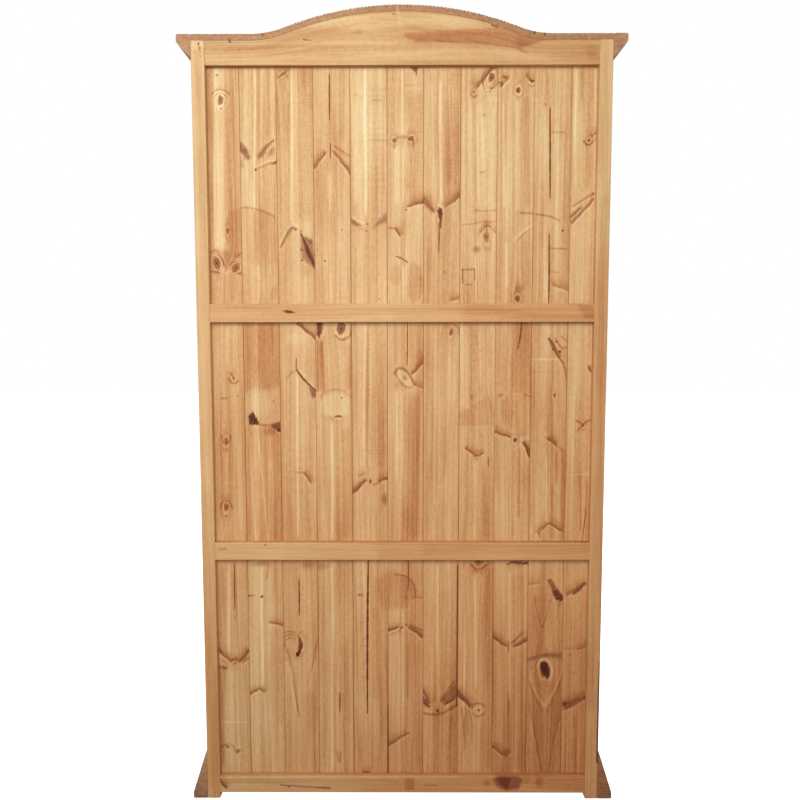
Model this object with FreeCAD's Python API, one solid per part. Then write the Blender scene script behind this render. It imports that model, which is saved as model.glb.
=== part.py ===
import FreeCAD, Part

# A free-standing rustic pine bookcase with an ogee-arched top.
# Two framed sides, a boarded back, a face frame and fixed shelves carry a roof of boards that are
# kerfed on top and bent over the arch. A crown and a base moulding go round the front and both sides.
# +Z is up, the open front faces -Y, the boarded back faces +Y, and +X is on the right of a person who
# stands in front. The origin is on the floor, in the middle of the outline. Sizes are in millimetres.

import math
import os

from FreeCAD import Vector

# Case
CASE_WIDTH = 1000.0  # over the outer faces of the side frames
CASE_DEPTH = 380.0  # rear face of the back frame to front face of the face frame
SHOULDER_HEIGHT = 1879.0  # floor to the top of the posts, where the roof lies flat
FLOOR_GAP = 15.0  # floor to the lowest rails and planks

# Arch of the two top rails, and the roof on it
ARCH_HALF_SPAN = 358.0  # middle of the arch to where the roof turns flat
ARCH_HOLLOW = 86.0  # part of that half span that curves the hollow way
ARCH_RISE = 66.0  # flat shoulders to the middle of the arch
ROOF_THICKNESS = 15.0
ROOF_BOARD_COUNT = 3
KERF_PITCH = 9.0  # along the top of the arch
KERF_WIDTH = 1.6
KERF_DEPTH = 9.0

# Posts, rails and planks of the sides and the back
POST_DEPTH = 70.0  # front to back
RAIL_THICKNESS = 19.0
PLANK_THICKNESS = 13.0
MIDDLE_RAIL_HEIGHT = 45.0
LOWER_RAIL_CENTRE = 647.0  # above the floor
UPPER_RAIL_CENTRE = 1239.0
BACK_TOP_RAIL_HEIGHT = 57.0  # at the flat shoulders
BACK_BOTTOM_RAIL_HEIGHT = 43.0
SIDE_TOP_RAIL_HEIGHT = 85.0
SIDE_BOTTOM_RAIL_HEIGHT = 150.0

# Tongued and grooved planks
PLANK_COVER = 88.7  # width that a whole plank covers
EDGE_PLANK_LEAST = 35.0  # the two outer planks cover at least this much before the shift
PLANK_SHIFT = 8.25  # the planks of the back stand this far off centre, towards -X
SIDE_PLANK_COUNT = 3
TONGUE_LENGTH = 6.0
TONGUE_THICKNESS = 4.0
TONGUE_CLEARANCE = 0.3
PLANK_BEVEL = 1.0  # along the outer edges
PLANK_HOUSING = 8.0  # depth of the groove and the rebates in the posts
HOUSING_CLEARANCE = 0.5  # between a plank's edge and the bottom of its housing
PLANK_TOP_GAP = 8.0  # planks to roof

# Mortises and tenons
TENON_THICKNESS = 9.0
TENON_SHOULDER = 6.0  # above and below each tenon
TENON_CLEARANCE = 0.25
TENON_COVER = 12.0  # wood left in a rear post behind a tenon of the back
SIDE_TENON_LENGTH = 20.0
FACE_TENON_LENGTH = 30.0
FACE_TENON_THICKNESS = 8.0

# Face frame
FACE_THICKNESS = 20.0
FACE_STILE_WIDTH = 70.0

# Shelves and the cleats that carry them
SHELF_COUNT = 4  # above the bottom shelf
SHELF_THICKNESS = 28.0
SHELF_END_GAP = 1.0
SHELF_NOSE_RADIUS = 4.0
BOTTOM_SHELF_TOP = 150.0  # above the floor
CLEAT_WIDTH = 20.0
CLEAT_HEIGHT = 28.0
CLEAT_SETBACK = 30.0  # face frame to the cleat's front end
CLEAT_CHAMFER = 14.0

# Mouldings
CROWN_PROJECTION = 34.0
CROWN_HEIGHT = 53.0
CROWN_LIP = 19.0  # upright face at the top
CROWN_LAND = 2.0  # thickness left at the lower edge
BASE_PROJECTION = 36.0
BASE_HEIGHT = 124.0
BASE_LIP = 17.0  # upright face at the floor
BASE_LAND = 2.0  # thickness left at the upper edge

# Fasteners
NAIL_SIZE = 1.6  # square wire, for the planks
NAIL_SET = 1.0  # heads below the surface
NAIL_BITE = 10.0  # into the plank
CLEAT_NAIL_SIZE = 2.6
CLEAT_NAIL_SPACING = 14.0  # one above the other
CLEAT_NAIL_BITE = 18.0  # into the post

# Derived places
HALF_WIDTH = CASE_WIDTH / 2
PLANK_OUT_X = HALF_WIDTH - RAIL_THICKNESS  # outer face of the side planks
INNER_X = PLANK_OUT_X - PLANK_THICKNESS  # inner face of the side frames
BACK_Y = (CASE_DEPTH + max(CROWN_PROJECTION, BASE_PROJECTION)) / 2
FRONT_Y = BACK_Y - CASE_DEPTH
FACE_BACK_Y = FRONT_Y + FACE_THICKNESS
PLANK_OUT_Y = BACK_Y - RAIL_THICKNESS  # outer face of the back planks
PLANK_IN_Y = PLANK_OUT_Y - PLANK_THICKNESS
REAR_POST_Y = BACK_Y - POST_DEPTH  # front face of the rear posts
FRONT_POST_Y = FACE_BACK_Y + POST_DEPTH  # rear face of the front posts
PLANK_TOP = SHOULDER_HEIGHT - PLANK_TOP_GAP
TOP_RAIL_BOTTOM = SHOULDER_HEIGHT - BACK_TOP_RAIL_HEIGHT
FACE_OPENING_X = HALF_WIDTH - FACE_STILE_WIDTH
BACK_TENON_LENGTH = HALF_WIDTH - INNER_X - TENON_COVER
SHELF_CLEAR = TOP_RAIL_BOTTOM - BOTTOM_SHELF_TOP - SHELF_COUNT * SHELF_THICKNESS
SHELF_PITCH = SHELF_CLEAR / (SHELF_COUNT + 1) + SHELF_THICKNESS
SHELF_TOPS = [BOTTOM_SHELF_TOP + k * SHELF_PITCH for k in range(SHELF_COUNT + 1)]
ARCH_SLOPE = 2 * math.atan2(ARCH_RISE, ARCH_HALF_SPAN)  # where the two curves of the ogee meet
ARCH_RADIUS = (ARCH_HALF_SPAN - ARCH_HOLLOW) / math.sin(ARCH_SLOPE)
HOLLOW_RADIUS = ARCH_HOLLOW / math.sin(ARCH_SLOPE)
ARCH_CENTRE_Z = SHOULDER_HEIGHT + ARCH_RISE - ARCH_RADIUS

SIDES = {"left": -1, "right": 1}


def middle_rail_span(centre):
    return centre - MIDDLE_RAIL_HEIGHT / 2, centre + MIDDLE_RAIL_HEIGHT / 2


# Lowest and highest edge of each rail. The arch stands above the back_top_rail's span.
BACK_RAILS = {
    "bottom": (FLOOR_GAP, FLOOR_GAP + BACK_BOTTOM_RAIL_HEIGHT),
    "lower": middle_rail_span(LOWER_RAIL_CENTRE),
    "upper": middle_rail_span(UPPER_RAIL_CENTRE),
    "top": (TOP_RAIL_BOTTOM, SHOULDER_HEIGHT),
}
SIDE_RAILS = {
    "bottom": (FLOOR_GAP, FLOOR_GAP + SIDE_BOTTOM_RAIL_HEIGHT),
    "lower": middle_rail_span(LOWER_RAIL_CENTRE),
    "upper": middle_rail_span(UPPER_RAIL_CENTRE),
    "top": (SHOULDER_HEIGHT - SIDE_TOP_RAIL_HEIGHT, SHOULDER_HEIGHT),
}
FACE_RAILS = {
    "bottom": (FLOOR_GAP, BOTTOM_SHELF_TOP),
    "arch": (TOP_RAIL_BOTTOM, SHOULDER_HEIGHT),
}


# Basic shapes


def block(x, y, z):
    """A box between two values along each axis, given in either order."""
    low = Vector(min(x), min(y), min(z))
    return Part.makeBox(max(x) - min(x), max(y) - min(y), max(z) - min(z), low)


def prism(points, along):
    """A solid from a closed flat outline, drawn out along a vector."""
    return Part.Face(Part.makePolygon(points + points[:1])).extrude(along)


def cut_all(solid, tools):
    return solid.cut(list(tools)) if tools else solid


def fuse_all(solid, others):
    return solid.fuse(list(others)).removeSplitter() if others else solid


# Arch


def arch_line(half_length, lift):
    """Edges of the ogee in the XZ plane from -half_length to half_length, lifted square to itself."""
    crown = ARCH_RADIUS + lift
    hollow = HOLLOW_RADIUS - lift

    def on_crown(angle):
        return Vector(crown * math.sin(angle), 0, ARCH_CENTRE_Z + crown * math.cos(angle))

    def on_hollow(side, angle):
        x = ARCH_HALF_SPAN - hollow * math.sin(angle)
        return Vector(side * x, 0, SHOULDER_HEIGHT + HOLLOW_RADIUS - hollow * math.cos(angle))

    def shoulder(side):
        end = Vector(side * half_length, 0, SHOULDER_HEIGHT + lift)
        return Part.LineSegment(end, on_hollow(side, 0)).toShape()

    def hollow_arc(side):
        points = [on_hollow(side, share * ARCH_SLOPE) for share in (0, 0.5, 1)]
        return Part.Arc(*points).toShape()

    crown_arc = Part.Arc(on_crown(-ARCH_SLOPE), on_crown(0), on_crown(ARCH_SLOPE)).toShape()
    return [shoulder(-1), hollow_arc(-1), crown_arc, hollow_arc(1), shoulder(1)]


def closed_face(edges):
    return Part.Face(Part.Wire(Part.__sortEdges__(edges)))


def upright(x, low, high):
    return Part.LineSegment(Vector(x, 0, low), Vector(x, 0, high)).toShape()


def arched_board(half_length, y, thickness):
    """A board with a straight lower edge and the ogee as its upper edge."""
    low = TOP_RAIL_BOTTOM
    floor_edge = Part.LineSegment(Vector(-half_length, 0, low), Vector(half_length, 0, low)).toShape()
    ends = [upright(side * half_length, low, SHOULDER_HEIGHT) for side in (-1, 1)]
    board = closed_face([floor_edge, *ends, *arch_line(half_length, 0)]).extrude(Vector(0, thickness, 0))
    board.translate(Vector(0, y, 0))
    return board


# Joinery


def back_tenon(side, span, spare=0.0):
    """The tenon of a back rail in a rear post, or with spare its mortise."""
    middle = BACK_Y - RAIL_THICKNESS / 2
    half = TENON_THICKNESS / 2 + spare
    return block(
        (side * INNER_X, side * (INNER_X + BACK_TENON_LENGTH + spare)),
        (middle - half, middle + half),
        (span[0] + TENON_SHOULDER - spare, span[1] - TENON_SHOULDER + spare),
    )


def side_tenon(side, span, face_y, into, spare=0.0):
    """The tenon of a side rail that goes into the post face at face_y; into is 1 towards +Y or -1."""
    middle = HALF_WIDTH - RAIL_THICKNESS / 2
    half = TENON_THICKNESS / 2 + spare
    return block(
        (side * (middle - half), side * (middle + half)),
        (face_y, face_y + into * (SIDE_TENON_LENGTH + spare)),
        (span[0] + TENON_SHOULDER - spare, span[1] - TENON_SHOULDER + spare),
    )


def face_tenon(side, span, spare=0.0):
    """The tenon of a face frame rail in its stile."""
    middle = FRONT_Y + FACE_THICKNESS / 2
    half = FACE_TENON_THICKNESS / 2 + spare
    return block(
        (side * FACE_OPENING_X, side * (FACE_OPENING_X + FACE_TENON_LENGTH + spare)),
        (middle - half, middle + half),
        (span[0] + TENON_SHOULDER - spare, span[1] - TENON_SHOULDER + spare),
    )


def plank_outline(start, end, grooved, tongued):
    """Section of a plank that covers start to end: points (across, out), out from the inner face.

    An edge with neither groove nor tongue runs on into the housing in a post.
    """
    housed = PLANK_HOUSING - HOUSING_CLEARANCE
    thick = PLANK_THICKNESS
    low = (thick - TONGUE_THICKNESS) / 2
    high = low + TONGUE_THICKNESS
    if grooved:
        deep = start + TONGUE_LENGTH + TONGUE_CLEARANCE
        groove_low = low - TONGUE_CLEARANCE
        groove_high = high + TONGUE_CLEARANCE
        first_edge = [
            (start + PLANK_BEVEL, thick),
            (start, thick - PLANK_BEVEL),
            (start, groove_high),
            (deep, groove_high),
            (deep, groove_low),
            (start, groove_low),
            (start, 0.0),
        ]
    else:
        first_edge = [(start - housed, thick), (start - housed, 0.0)]
    if tongued:
        tip = end + TONGUE_LENGTH
        last_edge = [
            (end, 0.0),
            (end, low),
            (tip, low),
            (tip, high),
            (end, high),
            (end, thick - PLANK_BEVEL),
            (end - PLANK_BEVEL, thick),
        ]
    else:
        last_edge = [(end + housed, 0.0), (end + housed, thick)]
    return first_edge + last_edge


def back_plank_spans():
    """Where each plank of the back starts and ends, measured from the +X side of the opening."""
    opening = 2 * INNER_X
    whole = math.floor((opening - 2 * EDGE_PLANK_LEAST) / PLANK_COVER)
    first = (opening - whole * PLANK_COVER) / 2 + PLANK_SHIFT
    joints = [first + k * PLANK_COVER for k in range(whole + 1)]
    edges = [0.0, *joints, opening]
    return list(zip(edges[:-1], edges[1:]))


def side_plank_spans():
    """Where each plank of a side starts and ends, along Y."""
    cover = (REAR_POST_Y - FRONT_POST_Y) / SIDE_PLANK_COUNT
    edges = [FRONT_POST_Y + k * cover for k in range(SIDE_PLANK_COUNT + 1)]
    return list(zip(edges[:-1], edges[1:]))


# Fasteners


def middle_of(span):
    return (span[0] + span[1]) / 2


def nail_height(span):
    """Nails go through the middle of what a rail and the planks behind it share."""
    return middle_of((span[0], min(span[1], PLANK_TOP)))


def back_nail(across, height, set_back):
    """A nail through a back rail into a plank; set_back 0 gives its hole."""
    x = INNER_X - across
    half = NAIL_SIZE / 2
    return block(
        (x - half, x + half),
        (BACK_Y - set_back, PLANK_OUT_Y - NAIL_BITE),
        (height - half, height + half),
    )


def side_nail(side, y, height, set_back):
    half = NAIL_SIZE / 2
    return block(
        (side * (HALF_WIDTH - set_back), side * (PLANK_OUT_X - NAIL_BITE)),
        (y - half, y + half),
        (height - half, height + half),
    )


def cleat_nail(side, y, height, set_back):
    """A nail through a cleat into a post."""
    half = CLEAT_NAIL_SIZE / 2
    return block(
        (side * (INNER_X - CLEAT_WIDTH + set_back), side * (INNER_X + CLEAT_NAIL_BITE)),
        (y - half, y + half),
        (height - half, height + half),
    )


def cleat_nails(side, set_back=0.0):
    """Two nails in each post for every cleat, clear of the side rails' tenons; set_back 0 gives the holes."""
    in_front_post = middle_of((FACE_BACK_Y, FRONT_POST_Y - SIDE_TENON_LENGTH))
    in_rear_post = middle_of((REAR_POST_Y + SIDE_TENON_LENGTH, PLANK_IN_Y))
    centres = [top - SHELF_THICKNESS - CLEAT_HEIGHT / 2 for top in SHELF_TOPS]
    heights = [z + half * CLEAT_NAIL_SPACING for z in centres for half in (-0.5, 0.5)]
    return [cleat_nail(side, y, z, set_back) for z in heights for y in (in_front_post, in_rear_post)]


# Frames


def rear_post(side):
    post = block((side * INNER_X, side * HALF_WIDTH), (REAR_POST_Y, BACK_Y), (0, SHOULDER_HEIGHT))
    back_groove = block(
        (side * INNER_X, side * (INNER_X + PLANK_HOUSING)),
        (PLANK_IN_Y, PLANK_OUT_Y),
        (FLOOR_GAP, SHOULDER_HEIGHT),
    )
    side_rebate = block(
        (side * INNER_X, side * PLANK_OUT_X),
        (REAR_POST_Y, REAR_POST_Y + PLANK_HOUSING),
        (FLOOR_GAP, SHOULDER_HEIGHT),
    )
    back_mortises = [back_tenon(side, span, TENON_CLEARANCE) for span in BACK_RAILS.values()]
    side_mortises = [
        side_tenon(side, span, REAR_POST_Y, 1, TENON_CLEARANCE) for span in SIDE_RAILS.values()
    ]
    return cut_all(post, [back_groove, side_rebate, *back_mortises, *side_mortises, *cleat_nails(side)])


def front_post(side):
    post = block((side * INNER_X, side * HALF_WIDTH), (FACE_BACK_Y, FRONT_POST_Y), (0, SHOULDER_HEIGHT))
    rebate = block(
        (side * INNER_X, side * PLANK_OUT_X),
        (FRONT_POST_Y, FRONT_POST_Y - PLANK_HOUSING),
        (FLOOR_GAP, SHOULDER_HEIGHT),
    )
    mortises = [
        side_tenon(side, span, FRONT_POST_Y, -1, TENON_CLEARANCE) for span in SIDE_RAILS.values()
    ]
    return cut_all(post, [rebate, *mortises, *cleat_nails(side)])


def side_rail(side, span):
    rail = block((side * PLANK_OUT_X, side * HALF_WIDTH), (FRONT_POST_Y, REAR_POST_Y), span)
    tenons = [side_tenon(side, span, REAR_POST_Y, 1), side_tenon(side, span, FRONT_POST_Y, -1)]
    holes = [side_nail(side, middle_of(ys), nail_height(span), 0) for ys in side_plank_spans()]
    return cut_all(fuse_all(rail, tenons), holes)


def side_plank(side, number):
    spans = side_plank_spans()
    start, end = spans[number]
    outline = plank_outline(start, end, number > 0, number < len(spans) - 1)
    points = [Vector(side * (INNER_X + out), across, FLOOR_GAP) for across, out in outline]
    plank = prism(points, Vector(0, 0, PLANK_TOP - FLOOR_GAP))
    centre = middle_of((start, end))
    holes = [side_nail(side, centre, nail_height(span), 0) for span in SIDE_RAILS.values()]
    return cut_all(plank, holes)


def back_rail(name):
    span = BACK_RAILS[name]
    if name == "top":
        rail = arched_board(INNER_X, PLANK_OUT_Y, RAIL_THICKNESS)
    else:
        rail = block((-INNER_X, INNER_X), (PLANK_OUT_Y, BACK_Y), span)
    tenons = [back_tenon(side, span) for side in SIDES.values()]
    holes = [back_nail(middle_of(across), nail_height(span), 0) for across in back_plank_spans()]
    return cut_all(fuse_all(rail, tenons), holes)


def back_plank(number):
    spans = back_plank_spans()
    start, end = spans[number]
    outline = plank_outline(start, end, number > 0, number < len(spans) - 1)
    points = [Vector(INNER_X - across, PLANK_IN_Y + out, FLOOR_GAP) for across, out in outline]
    plank = prism(points, Vector(0, 0, PLANK_TOP - FLOOR_GAP))
    centre = middle_of((start, end))
    holes = [back_nail(centre, nail_height(span), 0) for span in BACK_RAILS.values()]
    return cut_all(plank, holes)


def face_stile(side):
    stile = block((side * FACE_OPENING_X, side * HALF_WIDTH), (FRONT_Y, FACE_BACK_Y), (0, SHOULDER_HEIGHT))
    return cut_all(stile, [face_tenon(side, span, TENON_CLEARANCE) for span in FACE_RAILS.values()])


def face_rail(name):
    span = FACE_RAILS[name]
    if name == "arch":
        rail = arched_board(FACE_OPENING_X, FRONT_Y, FACE_THICKNESS)
    else:
        rail = block((-FACE_OPENING_X, FACE_OPENING_X), (FRONT_Y, FACE_BACK_Y), span)
    return fuse_all(rail, [face_tenon(side, span) for side in SIDES.values()])


# Shelves


def shelf(top):
    """A shelf between the side frames, with its upper front edge eased."""
    end = INNER_X - SHELF_END_GAP
    board = block((-end, end), (FACE_BACK_Y, PLANK_IN_Y), (top - SHELF_THICKNESS, top))

    def is_nose(edge):
        box = edge.BoundBox
        return box.YMax - FACE_BACK_Y < SHELF_NOSE_RADIUS and top - box.ZMin < SHELF_NOSE_RADIUS

    return board.makeFillet(SHELF_NOSE_RADIUS, [edge for edge in board.Edges if is_nose(edge)])


def cleat(side, top):
    """A bearer under one end of a shelf, chamfered at its front."""
    low = top - CLEAT_HEIGHT
    front = FACE_BACK_Y + CLEAT_SETBACK
    outline = [
        (front, top),
        (PLANK_IN_Y, top),
        (PLANK_IN_Y, low),
        (front + CLEAT_CHAMFER, low),
        (front, low + CLEAT_CHAMFER),
    ]
    points = [Vector(side * INNER_X, y, z) for y, z in outline]
    return prism(points, Vector(-side * CLEAT_WIDTH, 0, 0))


def cleats(side):
    holes = cleat_nails(side)
    return Part.makeCompound([cut_all(cleat(side, top - SHELF_THICKNESS), holes) for top in SHELF_TOPS])


# Roof


def kerf(angle):
    """A saw cut from the top of the roof towards the centre of the arch, as a flat face."""
    top = ARCH_CENTRE_Z + ARCH_RADIUS + ROOF_THICKNESS
    half = KERF_WIDTH / 2
    low = top - KERF_DEPTH
    high = top + KERF_DEPTH
    corners = [Vector(-half, 0, low), Vector(half, 0, low), Vector(half, 0, high), Vector(-half, 0, high)]
    face = Part.Face(Part.makePolygon(corners + corners[:1]))
    face.rotate(Vector(0, 0, ARCH_CENTRE_Z), Vector(0, 1, 0), math.degrees(angle))
    return face


def kerf_angles():
    step = KERF_PITCH / (ARCH_RADIUS + ROOF_THICKNESS)
    each_way = math.floor((ARCH_SLOPE - step) / step)
    return [k * step for k in range(-each_way, each_way + 1)]


def roof_boards():
    """Bent boards side by side from the face frame to the back, butted edge to edge."""
    ends = [
        upright(side * HALF_WIDTH, SHOULDER_HEIGHT, SHOULDER_HEIGHT + ROOF_THICKNESS)
        for side in SIDES.values()
    ]
    section = closed_face([*arch_line(HALF_WIDTH, 0), *ends, *arch_line(HALF_WIDTH, ROOF_THICKNESS)])
    section = section.cut([kerf(angle) for angle in kerf_angles()])
    width = CASE_DEPTH / ROOF_BOARD_COUNT
    boards = []
    for k in range(ROOF_BOARD_COUNT):
        board = section.Faces[0].extrude(Vector(0, width, 0))
        board.translate(Vector(0, FRONT_Y + k * width, 0))
        boards.append(board)
    return boards


# Mouldings. A section is a list of (out, up) points: out from the case, up from the foot of the moulding.


def crown_section():
    return [
        (0.0, 0.0),
        (CROWN_LAND, 0.0),
        (CROWN_PROJECTION, CROWN_HEIGHT - CROWN_LIP),
        (CROWN_PROJECTION, CROWN_HEIGHT),
        (0.0, CROWN_HEIGHT),
    ]


def base_section():
    return [
        (0.0, 0.0),
        (BASE_PROJECTION, 0.0),
        (BASE_PROJECTION, BASE_LIP),
        (BASE_LAND, BASE_HEIGHT),
        (0.0, BASE_HEIGHT),
    ]


CROWN_FOOT = SHOULDER_HEIGHT + ROOF_THICKNESS - CROWN_HEIGHT


def mitre_zone(projection):
    """Everything in front of the mitres at the two front corners."""
    spare = projection
    far = HALF_WIDTH + projection + spare
    near = HALF_WIDTH - spare
    front = FRONT_Y - projection - spare
    back = FRONT_Y + spare
    corners = [(-near, back), (near, back), (far, front), (-far, front)]
    height = SHOULDER_HEIGHT + ARCH_RISE + ROOF_THICKNESS
    return prism([Vector(x, y, -spare) for x, y in corners], Vector(0, 0, height + 2 * spare))


def side_moulding(section, foot, projection, side):
    """A straight length from the back to the mitre at the front corner."""
    points = [Vector(side * (HALF_WIDTH + out), BACK_Y, foot + up) for out, up in section]
    length = prism(points, Vector(0, FRONT_Y - projection - BACK_Y, 0))
    return length.cut(mitre_zone(projection))


def base_front():
    half = HALF_WIDTH + BASE_PROJECTION
    points = [Vector(-half, FRONT_Y - out, up) for out, up in base_section()]
    return prism(points, Vector(2 * half, 0, 0)).common(mitre_zone(BASE_PROJECTION))


def crown_front():
    """The crown's section swept along the ogee and mitred at both ends."""
    half = HALF_WIDTH + CROWN_PROJECTION
    path = Part.Wire(arch_line(half, 0))
    path.translate(Vector(0, FRONT_Y, 0))
    points = [Vector(-half, FRONT_Y - out, CROWN_FOOT + up) for out, up in crown_section()]
    sweep = Part.BRepOffsetAPI.MakePipeShell(path)
    sweep.setBiNormalMode(Vector(0, 1, 0))
    sweep.add(Part.makePolygon(points + points[:1]))
    sweep.build()
    sweep.makeSolid()
    return sweep.shape().common(mitre_zone(CROWN_PROJECTION))


# The whole bookcase, node by node


def nail_group_back():
    rows = [nail_height(span) for span in BACK_RAILS.values()]
    columns = [middle_of(across) for across in back_plank_spans()]
    return Part.makeCompound([back_nail(across, z, NAIL_SET) for z in rows for across in columns])


def nail_group_sides():
    rows = [nail_height(span) for span in SIDE_RAILS.values()]
    columns = [middle_of(ys) for ys in side_plank_spans()]
    return Part.makeCompound(
        [side_nail(side, y, z, NAIL_SET) for side in SIDES.values() for z in rows for y in columns]
    )


def nail_group_cleats():
    return Part.makeCompound([nail for side in SIDES.values() for nail in cleat_nails(side, NAIL_SET)])


def bookcase():
    nodes = {}
    for name, side in SIDES.items():
        nodes[f"rear_post_{name}"] = rear_post(side)
        nodes[f"front_post_{name}"] = front_post(side)
        for rail, span in SIDE_RAILS.items():
            nodes[f"side_{rail}_rail_{name}"] = side_rail(side, span)
        for k in range(SIDE_PLANK_COUNT):
            nodes[f"side_plank_{name}_{k + 1}"] = side_plank(side, k)
        nodes[f"front_stile_{name}"] = face_stile(side)
        nodes[f"shelf_cleats_{name}"] = cleats(side)
        nodes[f"crown_moulding_{name}"] = side_moulding(crown_section(), CROWN_FOOT, CROWN_PROJECTION, side)
        nodes[f"base_moulding_{name}"] = side_moulding(base_section(), 0.0, BASE_PROJECTION, side)
    for rail in BACK_RAILS:
        nodes[f"back_{rail}_rail"] = back_rail(rail)
    for k in range(len(back_plank_spans())):
        nodes[f"back_plank_{k + 1:02d}"] = back_plank(k)
    for rail in FACE_RAILS:
        nodes[f"front_{rail}_rail"] = face_rail(rail)
    nodes["bottom_shelf"] = shelf(SHELF_TOPS[0])
    for k in range(1, SHELF_COUNT + 1):
        nodes[f"shelf_{k}"] = shelf(SHELF_TOPS[k])
    for k, board in enumerate(roof_boards()):
        nodes[f"roof_board_{k + 1}"] = board
    nodes["crown_moulding_front"] = crown_front()
    nodes["base_moulding_front"] = base_front()
    nodes["back_nails"] = nail_group_back()
    nodes["side_nails"] = nail_group_sides()
    nodes["cleat_nails"] = nail_group_cleats()
    return nodes


def main():
    os.makedirs("parts", exist_ok=True)
    for name, shape in bookcase().items():
        shape.exportStep(f"parts/{name}.step")


main()
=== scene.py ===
import math

import bpy
import numpy as np
from mathutils import Euler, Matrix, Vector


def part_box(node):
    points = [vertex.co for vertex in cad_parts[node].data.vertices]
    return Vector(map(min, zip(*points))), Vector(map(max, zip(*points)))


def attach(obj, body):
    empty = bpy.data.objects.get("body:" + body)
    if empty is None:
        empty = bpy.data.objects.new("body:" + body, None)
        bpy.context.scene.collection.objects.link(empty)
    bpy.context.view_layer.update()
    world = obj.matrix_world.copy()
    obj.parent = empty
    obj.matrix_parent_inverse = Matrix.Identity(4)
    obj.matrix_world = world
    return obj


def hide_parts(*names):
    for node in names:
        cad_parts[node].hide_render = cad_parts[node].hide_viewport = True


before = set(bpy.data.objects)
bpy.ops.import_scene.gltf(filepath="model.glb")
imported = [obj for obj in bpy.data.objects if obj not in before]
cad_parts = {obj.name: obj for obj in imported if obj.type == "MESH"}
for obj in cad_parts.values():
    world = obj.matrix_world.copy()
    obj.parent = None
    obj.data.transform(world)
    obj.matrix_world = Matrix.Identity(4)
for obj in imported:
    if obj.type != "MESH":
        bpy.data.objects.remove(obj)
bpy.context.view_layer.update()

# The camera of the photo: it looks at the back of the bookcase, straight on and slightly downwards.
IMAGE_SIZE = 800.0
FOCAL_PIXELS = 750.0
CAMERA_X = -0.0031
CAMERA_Y = 2.042
CAMERA_Z = 1.181
CAMERA_TILT = math.radians(4.81)
CAMERA_YAW = math.radians(0.25)  # towards the left of the photo
CAMERA_ROLL = math.radians(0.05)
SENSOR_MM = 36.0
FLOOR_REACH = 14.0
PIXEL = 0.00245  # one pixel of the photo on the back, in metres
FAR_AWAY = 1e6

# The stain, the painted shade and the surface of the wood
FOOT_SHADE_WARMTH = 1.15  # painted shade: the back turns redder towards the floor
FOOT_SHADE = 0.05  # painted shade: and darker just above it
FOOT_SHADE_LEAN = 0.75  # painted shade: redder still at the foot's -X end, and paler at the other
FOOT_DUSK = 0.12  # painted shade: and darker there
MOULDING_WARMTH = 0.2
KERF_STAIN = 0.35
# Painted shade on the sides of the planks, in the gaps between them
PLANK_SIDE_SHADE = 0.6
PLANK_EDGE_STAIN = 0.85
SIDE_SHADE_REACH = 0.0012  # how far the painted shade on a board's sides goes, in metres
EDGE_STAIN_REACH = 0.0013
HALF_PLANK = 0.04  # about half of a plank, which tells its two edges apart
FACE_DEPTH = 0.0006  # what lies deeper than this isn't a board's face
PLANED_WAVE = 0.0003
CRACK_DEPTH = 0.001
SAW_ROUGHNESS = 0.00025
REAR_EDGE = 0.004  # how far the marks of the roof's rear edge reach

# Sizes that the frame gives, in metres
LOW = 0
HIGH = 1


def limit(node, end, axis):
    """Where one side of a node's box lies, to the micrometre."""
    return round(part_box(node)[end]["xyz".index(axis)], 6)


def extent(node, axis):
    return round(limit(node, HIGH, axis) - limit(node, LOW, axis), 6)


HALF_WIDTH = limit("rear_post_right", HIGH, "x")
INNER_X = limit("rear_post_right", LOW, "x")
FACE_OPENING_X = limit("front_stile_right", LOW, "x")
FRONT_Y = limit("front_stile_right", LOW, "y")
SHOULDER_Z = limit("rear_post_right", HIGH, "z")
ARCH_RISE = round(limit("front_arch_rail", HIGH, "z") - SHOULDER_Z, 6)
ROOF_THICKNESS = round(limit("crown_moulding_right", HIGH, "z") - SHOULDER_Z, 6)
CROWN_OUT = extent("crown_moulding_right", "x")
CROWN_HEIGHT = extent("crown_moulding_right", "z")
BASE_OUT = extent("base_moulding_right", "x")
BASE_HEIGHT = extent("base_moulding_right", "z")
CLEAT_HEIGHT = round(limit("bottom_shelf", LOW, "z") - limit("shelf_cleats_left", LOW, "z"), 6)
BACK_FACE_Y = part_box("back_lower_rail")[HIGH].y
PLANK_FACE_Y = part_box("back_plank_01")[HIGH].y

# Sizes that the boxes of the nodes do not give
ARCH_HALF_SPAN = 0.358
ARCH_HOLLOW = 0.086
KERF_PITCH = 0.009
KERF_WIDTH = 0.0016
KERF_SHOWN = 0.0024  # the saw cuts have closed up, so that only their tops show
KERF_CRISP = 0.00004  # how sharp the edges of a cut are
KERF_MARGIN = 0.003  # plain wood beyond the last cut
TONGUE = 0.006
TONGUE_HALF = 0.002
CROWN_LIP = 0.019
BASE_LIP = 0.017
MOULDING_LAND = 0.002  # the flat on the thin edge of a moulding
MITRE_REACH = 0.0005
CLEAT_CHAMFER = 0.014
PLANK_TUCK = 0.001  # how far the outer planks go into the posts
RAIL_GAP = 0.0002
ROOF_GAP = 0.0003

# How far edges are rounded
BOARD_EASE = 0.0016
PLANK_EASE = 0.0007
SHELF_EASE = 0.004
CLEAT_EASE = 0.001
ROOF_EASE = 0.0012
HIDDEN_EASE = 0.0008  # on the hidden side of any board
END_EASE = 0.002
MOULDING_ROUND = 0.003
CROWN_SIDE_ROUND = 0.005

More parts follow.
